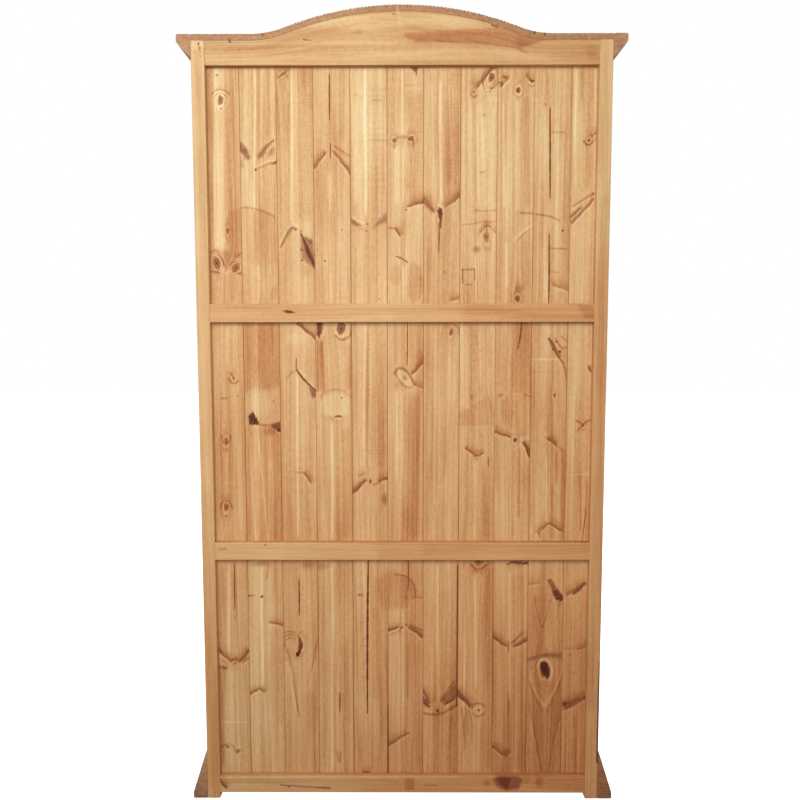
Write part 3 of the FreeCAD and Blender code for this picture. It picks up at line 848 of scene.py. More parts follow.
def carried(ring, along):
    """An outline carried along a board: each vertex's place across it, in its thickness and along it."""
    p = np.tile(ring[:, 0], (len(along), 1))
    t = np.tile(ring[:, 1], (len(along), 1))
    q = np.repeat(np.asarray(along)[:, None], len(ring), axis=1)
    return p, t, q


def grain_of(ring, along, seed):
    """What the pine materials read: the place across the rings, along the board, and which board it is."""
    return np.stack([ring.ravel(), along.ravel(), np.full(ring.size, seed)], axis=1)


class Board:
    """One board: its outline, its length and its marks. Turned into a piece by make()."""

    def __init__(self, spec, ring, along, outer, seed):
        self.spec = spec
        self.p, self.t, self.q = carried(ring, along)
        self.low = ring[:, 0].min()
        self.high = ring[:, 0].max()
        self.outer = outer
        self.seed = seed
        self.lift = 0.0
        self.side_shade = 0.0  # painted shade on its long sides: in the gaps between planks and on the rails
        self.edge_stain = 0.0  # how dark the stain on the edges of its face is
        self.lean = 1.0  # how much of the painted shade from side to side its foot takes

    def make(self, name, marks, wood, place, upright=True, photo=True, tone=0.0, warm=0.0, shape=None):
        """place(h, v) gives a point of the face in pixels of the photo, or in such steps from a corner."""
        p, q, t = self.p, self.q, self.t
        h, v = (p, q) if upright or not photo else (-q, p + self.lift)
        canvas = Canvas(*place(h.ravel(), v.ravel()), upright)
        for mark in marks:
            mark(canvas)
        seed = self.seed
        depth = self.outer - t
        canvas.fade(1 - smooth(0.3, 0.8, depth.ravel() / depth.max()))
        sway = 0.004 * np.sin(2.1 * q + seed) + 0.002 * np.sin(5.3 * q + 2.3 * seed)
        ring = p + 0.8 * depth + canvas.bend.reshape(p.shape) + sway
        facing = bell(depth / FACE_DEPTH)
        t = t - canvas.sink.reshape(p.shape) * facing
        t = t + PLANED_WAVE * np.sin(3.1 * q + 1.7 * seed) * np.sin(40 * p + seed) * facing
        world = shape(p, q, t) if shape else to_world(self.spec, p, q, t)
        mesh = loft(name, world, [wood, END_GRAIN])
        grain = grain_of(ring, q, 3.7 * seed)
        # Painted shade: the back is redder towards the floor and darker just above it, and more so towards
        # its -X end
        if photo:
            shade_aside = self.lean * (1 - smooth(0.2, 0.8, v.ravel())) * h.ravel() / HALF_WIDTH
            warm = warm + FOOT_SHADE_WARMTH * (1 - v.ravel() / SHOULDER_Z) + FOOT_SHADE_LEAN * shade_aside
            tone = tone - FOOT_SHADE * (1 - smooth(0.0, 0.5, v.ravel())) - FOOT_DUSK * shade_aside
        painted = np.stack([canvas.dark, canvas.tone + tone, canvas.warm + warm], axis=1)
        edge = np.minimum(np.abs(p - self.low), np.abs(p - self.high))
        # Painted shade on the long sides, and a stain on the edges of the face
        joint = self.side_shade * bell(edge / SIDE_SHADE_REACH) * smooth(0.0002, 0.0016, depth)
        joint += self.edge_stain * bell(edge / EDGE_STAIN_REACH) * facing
        beat = np.sin(9 * q + 2 * seed + np.sign(p - self.low - HALF_PLANK))
        joint *= 0.65 + 0.35 * beat * np.sin(3.1 * q + seed)
        write_attributes(mesh, grain, painted, joint.ravel())
        hand_over(show(name, mesh), name)


def photo_place(face_y):
    """Finds points of an upright plane of the back in the photo."""
    return lambda h, v: in_photo(h, v, face_y)


def corner_place(low, start):
    """Counts points of a board's face in steps of a photo pixel from its corner."""
    return lambda h, v: ((h - low) / PIXEL, (v - start) / PIXEL)


def plain_board(node, spec, wood, seed, knots, trim=None, ease=BOARD_EASE, cracks=0):
    """A straight board with marks of its own, as large as its node, or cut back along the grain to trim."""
    (low, high), (start, end), (inner, outer) = spans(node, spec)
    if trim:
        start, end = trim
    marks = wild_marks(seed, high - low, end - start, knots, cracks)
    marked = [[start + PIXEL * y for y in mark.rows] for mark in marks if hasattr(mark, "rows")]
    edges = side_points(low, high, inner, outer, ease, max(2, round((outer - inner) / DEPTH_STEP)) + 1)
    face = columns(low, high, ease, PLAIN_STEP)
    ring = ring_points(low, high, inner, outer, ease, face, max(2, round((high - low) / HIDDEN_STEP)), *edges)
    board = Board(spec, ring, marked_stations(start, end, PLAIN_STEP, marked), outer, seed)
    board.make(node, marks, wood, corner_place(low, start), photo=False)


# What the wood of the back shows, in pixels of the photo. The planks are numbered from its left.

ROUND_STAIN = patch(394.5, 591, 20.5, 18.5, -0.17, 0.45, edge=0.2, rim=0.12)
ARCH_STAIN = [
    (225, 220), (229, 212.5), (236, 208.5), (246.4, 207.4), (258, 209.5), (268, 213.5), (276, 217),
    (277, 262), (262, 268), (246, 262), (232, 256), (225, 236),
]
CRACK_TEETH = [608, 622, 627, 639, 646, 660, 664, 677]
PLANK_MARKS = {}
PLANK_MARKS[1] = [
    band(219.4, 60, 252, 6.2, 0.26, -0.1, soft=0.3),
    band(209, 60, 300, 4.2, -0.1, 0.15),
    band(232.5, 60, 304, 6, -0.09, 0.15),
    speck(216.7, 75.3, 1.2, 0.45),
    patch(220.3, 101, 9.6, 12.5, 0.1, -0.1, edge=0.25),
    knot(220.3, 100.3, 2.7, 4.6, 4, 0.66, 0.12),
    line(0.7, -0.42, (211.6, 94.5), (215, 91), (220, 89.6), (225.5, 91), (229.2, 94.5)),
    line(0.7, 0.2, (212.5, 95.4), (220, 91.2), (228, 95.4)),
    line(0.6, -0.3, (213.5, 96.6), (220, 92.8), (227, 96.6)),
    speck(220.9, 108.6, 0.9, 0.5),
    blot(ARCH_STAIN, tone=-0.1, warm=0.3),
    knot(227.8, 231, 1.6, 3.2, 0, 0.68),
    patch(226.5, 258, 6, 10, -0.16, 0.35, edge=0.6),
    swathe(
        (227.2, 252, 3.6), (227.8, 261, 3), (227.6, 267.5, 0.8), dark=0.3, warm=0.1, soft=0.8, lines=0.2,
    ),
    eye(216.8, 263.2, 3.6, 7.6, -15, 0.7, 0.36),
    eye(235.8, 268, 3.4, 6, 38, 0.7, 0.36),
    line(0.8, -0.35, (211, 252.5), (217, 251), (223.8, 263.8), (227, 269.2)),
    line(0.7, -0.3, (241.5, 253), (235, 258), (229.8, 265.2)),
    line(0.9, 0.2, (221, 268), (226, 274), (231, 270)),
    line(1, -0.45, (211, 271.5), (218, 272.4)),
    line(1.1, -0.5, (238.5, 273.4), (243, 274)),
    band(228, 325, 370, 3, 0.14),
    smear((243.6, 322, 0.7), (243.9, 338, 0.7), (244.1, 356, 0.4), dark=0.6, warm=0.4),
    band(227, 452, 500, 2.2, 0.12),
    knot(233.6, 378.6, 1.5, 1.9, 0, 0.6, 0.1),
    line(0.9, -0.42, (228.9, 378.5), (231, 382), (234.5, 383.3), (238.4, 381)),
    wing(229.5, 373.5, 233, 377, 0.9, 0.6, 0.4),
    line(0.8, -0.38, (221, 398.6), (226.5, 398.2)),
    speck(237.7, 395.8, 1, 0.45),
    knot(226.2, 441.7, 2.2, 3.8, 0, 0.7, 0.2),
    line(0.7, -0.38, (221.3, 436), (223.2, 442.5)),
    line(0.7, -0.38, (231, 436), (229.2, 442.5)),
    speck(226.2, 448.5, 0.9, 0.5),
    patch(227, 497, 8, 9, -0.1, 0.2, edge=0.8),
    knot(226.2, 507.1, 2.6, 3.8, 0, 0.66, 0.15),
    line(0.8, -0.4, (220.5, 508), (222, 503.5), (226, 501), (230.5, 503.5), (232, 508)),
    speck(226.2, 516.2, 1.1, 0.5),
    band(229, 562, 655, 1.9, 0.26, soft=0.5),
    band(222.5, 562, 650, 4, -0.06, 0.1),
    crack(0.5, 0.6, (234.4, 564), (234.5, 590), (234.8, 609)),
    speck(234.8, 617.7, 0.8, 0.5),
    wing(216, 646.5, 231.5, 661.2, 2.4, 1.4, 0.5),
    wing(249, 649.5, 240, 661.8, 2, 1, 0.6),
    line(1, -0.45, (231, 660.6), (235.5, 659.4), (240, 661)),
    eye(224.5, 661.5, 1.8, 6.5, -62, 0.2, 0.28),
    knot(235.3, 663, 1.5, 2, 0, 0.5, 0.25),
    wing(249, 658, 242.5, 662.5, 1.1, 0.7, 0.45),
    line(1.3, -0.62, (217, 663.8), (221, 667), (226, 667.8)),
    band(221.2, 666, 768, 4.8, -0.24, 0.1, soft=0.3),
    band(219.5, 566, 648, 4.5, -0.08, soft=0.4),
    band(230.5, 668, 770, 4, 0.1),
    line(0.5, 0.3, (218.5, 722.2), (246.5, 721.8)),
    eye(227.7, 746.6, 1.6, 2.6, -40, 0.55, 0.3),
    eye(237.8, 751.2, 1.6, 2.8, 35, 0.55, 0.3),
    line(0.8, -0.38, (222, 747), (227, 743.6), (233, 746), (237, 752.5), (241, 749.5)),
]
PLANK_MARKS[2] = [
    band(246.2, 66, 206, 1.2, 0.16),
    band(254.2, 66, 214, 1.5, 0.34, soft=0.4),
    band(261.5, 66, 206, 1.6, 0.12),
    band(242, 66, 206, 1.6, -0.08),
    band(268.5, 66, 140, 4.5, -0.07),
    blot(
        [(238, 138.5), (241.5, 142), (248, 149.5), (251, 159), (246.5, 160), (240.6, 152.5), (238, 150)],
        0.52, soft=2.4,
    ),
    line(0.8, 0.2, (239.5, 154.5), (246, 161.5)),
    eye(244.5, 159.5, 1.6, 5.5, -55, 0.25, 0.3),
    blot([(239.5, 160), (242.5, 160.5), (245, 167), (241, 169)], 0.3, soft=1.6),
    blot(
        [
            (258.2, 160), (256.5, 155.4), (263.3, 146.5), (273.8, 138.6), (275, 141), (267.7, 148),
            (263.3, 157),
        ], 0.5, soft=2.4,
    ),
    eye(271.4, 151.8, 2.8, 7, 33, 0.38, 0.38),
    line(0.8, 0.2, (275, 160.5), (266, 162), (258, 166)),
    line(0.8, -0.25, (270, 163.2), (265, 165.5), (258, 168.5)),
    blot([(269, 163.8), (277, 160), (277, 165)], 0.6, soft=0.8),
    speck(255.7, 169.8, 1.4, 0.6),
    line(0.9, -0.3, (228, 215), (234, 210), (246.4, 207.4), (258, 209.5), (268, 213.5), (274, 216.4)),
    blot(ARCH_STAIN, tone=-0.07, warm=0.2),
    band(258.2, 262, 304, 1.1, 0.26),
    speck(258.6, 281, 0.7, 0.4),
    patch(274, 292, 5, 8, -0.15, 0.3, edge=0.6),
    blot(
        [(243, 318), (284, 318), (284, 384), (270, 391), (256, 387), (243, 393)],
        tone=-0.15, warm=0.35, soft=3,
    ),
    patch(258, 404, 17, 16, 0.1, -0.2, edge=0.5),
    blot([(248.5, 415.5), (253, 411.6), (259, 422.5), (257.5, 424.8), (249.5, 425)], 0.97, soft=0.9),
    blot([(271.5, 423.5), (281, 421.5), (281.5, 433.5), (277, 431), (271, 427)], 0.72, soft=1.2),
    swathe((258.5, 424, 1.2), (266, 425.5, 1.6), (272, 424.5, 1.4), dark=0.4, warm=0.3),
    patch(270.5, 431, 10, 7, -0.3, 0.15, 0.1),
    speck(278.6, 430, 1.6, 0.9),
    line(0.7, 0.3, (272, 426.4), (275.6, 429.4), (279.6, 434)),
    line(0.6, 0.26, (281, 423.6), (279, 427)),
    speck(273.6, 401.2, 0.9, 0.5),
    blot([(244, 427), (287, 427), (290, 541), (246, 541)], tone=-0.11, warm=0.3, soft=4),
    smear((257, 428, 0.7), (262, 475, 1), (268, 540, 1.2), tone=0.2),
    smear((248.5, 432, 0.7), (253, 500, 0.9), (256, 540, 0.9), tone=0.16),
    smear((270, 436, 0.7), (270.5, 470, 0.9), tone=0.14),
    line(0.8, -0.4, (248.5, 595.6), (255, 595.4)),
    speck(249.8, 595.8, 1.2, 0.5),
    speck(261.9, 596.5, 1.4, 0.6),
    band(262.2, 562, 690, 1.9, 0.3, soft=0.45),
    line(0.7, -0.35, (269, 562), (267, 578)),
    # painted shade just under the lower rail
    patch(260, 564, 17, 5, -0.2, -0.2, 0.34),
    wing(284, 624.8, 269, 622, 1.6, 0.8, 0.44),
    wing(246.5, 695.8, 258.8, 688.2, 1.9, 1.2, 0.45),
    wing(259.5, 687.5, 264.5, 692.5, 1.5, 0.8, 0.45),
    band(274, 625, 772, 6.5, -0.04, 0.1, soft=0.5),
]
PLANK_MARKS[3] = [
    knot(283, 74, 3.6, 1.7, -32, 0.5, 0.2),
    swathe((278.5, 77.5, 0.9), (282.5, 74, 1.2), (288, 70, 0.9), dark=0.52, warm=0.3),
    swathe((286, 74, 0.8), (288.5, 78.5, 0.6), dark=0.4, warm=0.3),
    band(291.2, 66, 224, 1.5, 0.25, soft=0.5),
    band(304, 66, 222, 8.6, -0.1, 0.12, soft=0.35),
    chatter(296, 312.5, 70, 222, 3.4, 0.09),
    swathe((281, 247, 1), (286, 237, 2), (291.5, 228.5, 1.9), (297, 229.5, 0.9), dark=0.46, warm=0.3),
    line(0.8, 0.25, (279.5, 244), (285, 233.5), (292.5, 223.8), (298, 226.5)),
    blot(
        [(300.5, 234), (312, 238.5), (316, 261), (316, 270), (306, 263), (301, 258)],
        0.42, warm=0.3, soft=2.2,
    ),
    blot([(307, 238.5), (313, 239.5), (313.5, 246), (309, 245)], 0.55, soft=1.4),
    swathe(
        (300.8, 233.5, 0.6), (305, 243, 1.5), (309.3, 254.5, 2.7), (313.5, 263, 1.8), (316.6, 272, 0.8),
        dark=1, soft=0.3,
    ),
    patch(306.5, 270, 9, 11, -0.17, 0.35, edge=0.8),
    speck(295.6, 229.8, 0.9, 0.5),
    speck(301.2, 231.5, 1, 0.5),
    speck(301.4, 249.8, 1.3, 0.55),
    speck(302, 260.3, 1.3, 0.55),
    patch(297, 338, 14, 10, 0.1, -0.2, edge=0.8),
    wing(297, 322.5, 318.5, 340, 1.6, 1.9, 0.56),
    crack(0.5, 0.5, (296.3, 359), (296.3, 369)),
    line(0.9, 0.2, (299.5, 369.5), (306, 376.5), (313, 385)),
    swathe(
        (296.3, 369.5, 0.6), (303, 378.5, 0.9), (311, 386.5, 0.7), (318, 392.8, 0.7), dark=0.85, warm=0.6,
        lines=0.1,
    ),
    blot([(308.5, 386.5), (318, 392), (317.5, 396), (312.5, 399)], 0.5, warm=0.3, soft=1.3),
    line(0.9, -0.3, (287.5, 378.5), (290.5, 373.5), (294.5, 371.5)),
    band(297.5, 373, 540, 1.4, 0.24, soft=0.5),
    chatter(283, 316, 440, 500, 3, 0.09),
    line(0.7, -0.3, (296, 473), (303, 472.6)),
    wing(303.8, 472.5, 311.5, 483, 1, 0.6, 0.5),
    # painted shade just under the lower rail
    patch(308, 565, 14, 6.5, -0.2, -0.2, 0.4),
    crack(0.6, 0.75, (299, 579), (299.2, 596), (299.3, 615)),
    *[line(0.5, -0.22, (301.6, 583 + 5.5 * k), (305 + math.sin(3 * k), 584.5 + 5.5 * k)) for k in range(6)],
    swathe((299.3, 615, 0.8), (299.2, 636, 1.2), tone=0.05, warm=0.8),
    patch(299.5, 646, 5.8, 13.5, 0.06, 0.25, lean=10, edge=0.5, rim=0.22),
    blot([(298.6, 635), (301.4, 640), (302.8, 643.5), (301, 650), (298.2, 651)], 0.66, warm=0.2, soft=0.9),
    blot(
        [(302.4, 642.5), (302.6, 646), (299.4, 656.6), (296, 656.4), (296, 653.5), (299.5, 649)],
        1, soft=0.6,
    ),
    line(0.7, -0.36, (283, 634), (288, 631.5), (295, 632.5)),
    line(0.7, -0.36, (283, 637.5), (289, 634.5), (295, 635.5)),
    line(0.7, -0.3, (284, 641), (290, 637.8), (295, 638.8)),
    line(0.8, -0.28, (284, 643), (291, 662), (296, 690), (297.5, 716)),
    line(0.9, 0.2, (287, 662), (293, 690), (297, 716)),
    line(0.8, -0.26, (317.5, 640), (313, 664), (308.5, 682), (306, 688)),
    line(0.9, 0.2, (315, 664), (309, 682), (305, 690)),
    line(0.8, -0.25, (292.5, 680), (297, 704), (299.5, 716)),
    band(309.5, 690, 772, 8, -0.06, 0.15, soft=0.3),
    band(289, 690, 772, 4, -0.05, 0.2),
]
PLANK_MARKS[4] = [
    crack(0.7, 0.62, (329.4, 73), (329.4, 96), (329.6, 120)),
    *[speck(329.9 + 0.4 * math.sin(5 * k), 123.5 + 5 * k, 0.6, 0.5) for k in range(4)],
    smear((330.3, 143, 0.5), (330.4, 150, 0.9), (330.5, 158, 0.5), dark=0.5, warm=0.6),
    wing(325.9, 151.8, 312.5, 169, 1, 1.8, 0.5),
    wing(333.4, 151.3, 352, 174, 0.9, 1.8, 0.52),
    line(0.8, 0.2, (334, 149), (351, 165)),
    line(0.8, -0.32, (335, 146.4), (351, 157)),
    patch(331, 187, 8, 24, 0.1, -0.1),
    band(330.5, 172, 214, 1.2, 0.2),
    band(318, 66, 140, 3, 0.06),
    band(341, 66, 140, 5, -0.06),
    speck(325.2, 261, 1.1, 0.5),
    speck(317.9, 249.5, 0.8, 0.5),
    speck(341.8, 230, 1.1, 0.4),
    band(331, 270, 304, 2.4, 0.18),
    band(340, 255, 304, 1.2, -0.1, 0.2),
    blot([(316.5, 320), (323, 320), (322.2, 331), (318.8, 338.5), (316.5, 334.5)], 0.78, soft=0.9),
    line(0.8, 0.2, (325, 325), (323.8, 334), (319.8, 341)),
    line(0.8, -0.42, (317.6, 341), (317.8, 391)),
    line(0.8, -0.36, (321.5, 341), (323.2, 362), (324.3, 391)),
    band(320.8, 340, 392, 3, -0.13, 0.3),
    knot(341, 328.6, 4, 5.8, 10, 0.76, 0.1),
    line(0.8, 0.2, (336, 333), (341, 336.8), (348, 334)),
    line(0.9, -0.5, (335.5, 335.4), (339.5, 339.2), (345, 339.2), (350, 335.5), (352, 327)),
    patch(335.3, 405, 17.2, 15.5, 0.14, -0.3, edge=0.35),
    patch(336, 418.5, 15, 4.5, -0.14, 0.3),
    swathe((335, 416.6, 0.6), (338.5, 416.2, 1.3), (341.5, 416.4, 0.6), dark=0.66),
    line(0.8, 0.3, (335.5, 419.2), (341, 418.8)),
    band(332.6, 421, 541, 1.5, 0.27, soft=0.5),
    band(346.5, 425, 541, 6.5, -0.11, 0.3),
    band(348, 342, 392, 4.5, -0.13, 0.3),
    line(0.8, -0.2, (319.5, 398), (326, 391.8), (335, 389.8), (344, 391.5), (351, 397)),
    smear((352.6, 420, 0.5), (352.8, 470, 0.8), (353, 500, 0.5), dark=0.6, warm=0.4),
    speck(341.6, 397.6, 1, 0.5),
    # painted shade just under the lower rail
    patch(320, 566, 16, 7, -0.2, -0.2, 0.36),
    band(332.3, 562, 772, 1.9, 0.26, soft=0.45),
    band(324.5, 562, 772, 3, -0.05, 0.1),
    line(0.7, 0.16, (338, 692), (341, 656), (343.5, 692)),
    crack(0.6, 0.68, (339.9, 693), (339.9, 712)),
    line(0.8, -0.4, (337.5, 752), (339.3, 762), (341, 753)),
]
PLANK_MARKS[5] = [
    band(365.3, 66, 216, 1.7, 0.26, soft=0.5),
    band(356.5, 66, 205, 4, 0.08),
    band(378, 66, 205, 6, -0.05, 0.05),
    blot([(350.5, 216.5), (358.7, 222.8), (363.5, 226.6), (355.8, 226.6), (350.5, 224)], 0.46, soft=1.7),
    line(0.9, 0.25, (351.5, 216.8), (357, 220.2), (364, 223)),
    blot(
        [(374, 224.5), (379, 218.5), (388.5, 210), (388.5, 222.5), (380.7, 225), (371.8, 230)],
        0.42, soft=2.6,
    ),
    speck(366.6, 231, 1.2, 0.45),
    line(0.7, -0.2, (357, 228), (364, 229.6)),
    speck(367.2, 224, 1.3, 0.5),
    line(0.6, -0.3, (353.5, 96.4), (356.5, 94.5)),
    line(0.6, -0.36, (372, 100.3), (381.6, 100.1)),
    line(0.6, -0.26, (368.7, 139.6), (387.6, 140.2)),
    chatter(353, 386, 80, 200, 6.5, 0.07),
    speck(378.6, 274, 1, 0.4),
    speck(379.2, 299, 1, 0.4),
    band(364.5, 322, 470, 1.5, 0.2),
    band(369.8, 322, 470, 1.2, 0.16),
    *[speck(368 + 1.4 * math.sin(7 * k), 335 + 5 * k, 0.8, 0.34) for k in range(16)],
    band(381, 322, 470, 6, -0.06, 0.1),
    chatter(355, 387, 440, 470, 3, 0.1),
    wing(366, 479.5, 352, 492, 1.4, 3, 0.56),
    eye(370.4, 481.2, 1.6, 2.9, 10, 0.62, 0.3),
    wing(390, 476.5, 378, 481.5, 2, 0.9, 0.56),
    wing(364.5, 473, 358, 476.5, 1.3, 1.3, 0.3),
    line(0.9, -0.36, (373, 484.5), (380, 483)),
    patch(384.5, 499, 5.5, 12, -0.1, 0.1, 0.5),
    band(369, 490, 541, 1.4, 0.15),
    crack(1, 0.84, (368.3, 559), (367.8, 600), (367.4, 650), (367.4, 690), (367.5, 713)),
    *[line(0.5, -0.22, (363 - 2.5 * math.sin(2.2 * k), y), (366.5, y)) for k, y in enumerate(CRACK_TEETH)],
    line(0.9, -0.4, (358.5, 594.6), (363, 595)),
    speck(359.4, 595.4, 1.1, 0.5),
    band(376, 606, 700, 5, -0.08, 0.25),
    ROUND_STAIN,
    smear((388, 706, 0.6), (388.2, 772, 0.8), dark=0.8, warm=0.5),
    wing(362.5, 772.5, 370, 772.5, 0.6, 1.6, 0.6),
]
PLANK_MARKS[6] = [
    blot([(407, 66), (420, 66), (417.5, 70), (416, 78), (414.6, 71.5)], 0.62),
    line(0.8, -0.16, (406, 85.5), (420, 84.5)),
    line(0.7, -0.12, (408, 93), (421, 92)),
    band(402.6, 66, 138, 1.7, 0.3, soft=0.45),
    band(402.8, 145, 206, 1.4, 0.2),
    knot(394.4, 140.2, 2.4, 2.3, 0, 0.68),
    knot(411.2, 138.6, 3, 2.3, -20, 0.72),
    swathe((394.5, 142, 0.8), (394.2, 149, 0.5), dark=0.45, warm=0.4),
    swathe((413.2, 140, 1), (413.6, 149, 0.5), dark=0.55, warm=0.4),
    line(1.4, -0.32, (396, 138.5), (402, 136.8), (409, 138)),
    band(396.5, 142, 206, 3.5, 0.12),
    blot([(407, 96), (423, 94), (424, 199), (411, 206), (406, 186)], tone=-0.13, warm=0.25, soft=2.5),
    chatter(405, 423, 80, 204, 4.2, 0.06),
    wing(426, 199, 407, 206.5, 3.4, 0.9, 0.5),
    speck(422.6, 202.6, 1.3, 0.66),
    speck(405.9, 209.6, 1.2, 0.5),
    speck(403.5, 207.5, 0.8, 0.4),
    patch(402, 225, 13, 10, -0.07, 0.15, edge=0.8),
    line(1, -0.4, (389, 228), (396, 228.5)),
    wing(396, 227.8, 399.5, 235.8, 1.1, 0.9, 0.6),
    swathe((396.5, 256.5, 0.7), (402, 258.5, 1.1), (407.5, 262.5, 0.9), dark=0.55, warm=0.4),
    patch(415, 283, 9.5, 24, -0.18, 0.15, edge=0.3),
    chatter(407, 423, 262, 303, 2.6, 0.14),
    patch(395.5, 275, 7, 13, -0.14, 0.2, edge=0.4),
    chatter(388, 402, 262, 288, 2.6, 0.12),
    band(403.2, 264, 304, 1.4, 0.3),
    crack(0.5, 0.56, (407.4, 322), (407.5, 345), (407.2, 366)),
    band(416, 322, 362, 7.5, -0.1, 0.2, soft=0.25),
    patch(398, 385, 8, 6, -0.15, 0.3, edge=0.8),
    patch(405.2, 378, 5.2, 10.5, 0.14, -0.3, lean=-38, edge=0.25),
    line(1, -0.55, (394.6, 373), (397.5, 369), (401.5, 368), (406.5, 371.5), (411, 378), (414.8, 384.5)),
    line(0.8, -0.34, (395.5, 374), (400, 381.5), (406, 386.8), (412, 387)),
    knot(405, 377.6, 1.5, 3, -38, 0.5, 0, 0),
    wing(426, 355.5, 411.5, 374.5, 4, 1, 0.52),
    wing(413, 384, 426, 388, 1, 1.5, 0.3),
    band(414, 392, 540, 8, -0.11, 0.25, soft=0.5),
    band(397, 391, 480, 1.3, 0.2),
    band(402.5, 391, 480, 1, 0.2),
    patch(406, 515, 8, 24, -0.13, 0.25),
    ROUND_STAIN,
    crack(0.55, 0.62, (408.6, 559), (408.7, 587)),
    wing(387, 630.6, 398.5, 626.6, 1.9, 1, 0.56),
    patch(401.4, 628, 4, 2.6, 0.14, -0.2, edge=0.6),
    eye(401.4, 627.8, 1.4, 2.7, 60, 0.58, 0.34),
    line(0.7, -0.34, (394.7, 574.3), (405, 576.2), (412.6, 583), (415.4, 594)),
    patch(409, 589, 3.5, 4, -0.16, 0.2),
    patch(405.5, 597.5, 3.6, 3.2, -0.14, 0.2),
    patch(397, 604, 4.2, 3, -0.14, 0.2),
    line(0.8, -0.3, (414.5, 597), (423, 597.5)),
    speck(406.3, 624.6, 1.1, 0.58),
    line(0.7, -0.36, (410, 626), (423, 630.5)),
    wing(408.5, 626.8, 425, 637.5, 0.9, 2, 0.62),
    line(0.8, -0.3, (390, 634.5), (400, 630.5)),
    band(402.6, 607, 740, 1.4, 0.22),
    band(407.8, 640, 700, 1, -0.2, 0.4),
    wing(387, 744.5, 407.5, 733, 2.8, 0.9, 0.46),
    eye(408.5, 733.3, 1.3, 2.1, 60, 0.42, 0.25),
    band(418, 640, 772, 5, -0.08, 0.2),
]
PLANK_MARKS[7] = [
    band(440.7, 80, 206, 1.7, 0.28, soft=0.45),
    band(430.5, 80, 195, 5, 0.07),
    band(452.8, 66, 186, 8.2, -0.11, 0.15, soft=0.3),
    chatter(444, 461, 70, 186, 4, 0.08),
    wing(464, 187.5, 445.5, 206.8, 6.5, 0.9, 0.48),
    wing(421.5, 195.5, 434, 211.5, 4.6, 1, 0.46),
    eye(430.5, 207.5, 1.3, 5, -40, 0.3, 0.3),
    knot(439.9, 213, 2.3, 5.2, 0, 1, 0.1, 0.12),
    blot(
        [(437.2, 210.4), (441.6, 208.4), (442.6, 213), (442.2, 221), (440.2, 221), (438.4, 214)],
        1, soft=0.8,
    ),
    swathe((440.6, 218, 1.3), (440.9, 228, 0.6), dark=0.88),
    line(0.7, -0.4, (424.6, 197), (428.6, 202.4), (433.8, 211.6)),
    line(0.7, -0.36, (424.2, 205), (429, 209.8), (433.4, 212.8)),
    crack(0.55, 0.62, (439.3, 222), (439.1, 241), (438.9, 251)),
    chatter(444, 458, 255, 300, 2.8, 0.12),
    wing(450, 300.5, 459, 296.5, 1.3, 2.2, 0.38),
    speck(444.6, 272, 1.2, 0.5),
    speck(437.6, 280, 1, 0.4),
    patch(447.5, 326, 6, 5, -0.15, 0.3),
    knot(451.3, 331.6, 1.9, 3.8, 8, 0.66, 0.1, 0.04),
    line(0.8, -0.36, (455, 325), (458.6, 328.5), (458, 334)),
    patch(430, 445, 6, 30, 0.1, -0.15),
    band(436, 325, 541, 3, 0.06),
    band(452, 400, 541, 5, -0.05, 0.12),
    band(438, 562, 704, 1.9, 0.28, soft=0.45),
    wing(421.5, 688.5, 430.2, 703.5, 1.4, 0.9, 0.6),
    blot([(422.8, 696), (426, 698.6), (430.6, 706.6), (429.4, 708.4), (422.8, 704.4)], 0.62),
    patch(437.5, 703.5, 4.4, 6, 0.12, -0.15, edge=0.8),
    speck(437.7, 710.6, 1.6, 0.72),
    wing(460.5, 688.5, 444.5, 704.2, 3.8, 1.2, 0.5),
    wing(460.5, 691.8, 445.4, 704.4, 2.8, 1.3, 0.68),
    line(0.8, -0.34, (440.6, 701), (446.5, 691.5), (454.5, 681.5)),
    line(0.8, -0.28, (443.4, 700), (450, 691), (457.5, 684)),
    line(1.1, -0.42, (423, 713), (431, 714.4), (437.5, 714.2), (446, 711.5), (458, 704)),
    line(0.8, 0.16, (424, 710.3), (432, 711.6)),
    chatter(440, 450, 714, 726, 2.6, 0.16),
    band(450, 714, 772, 7, -0.08, 0.22),
    smear((457.6, 566, 0.6), (457.2, 640, 0.7), (457, 706, 1.2), dark=0.72, warm=0.3),
]
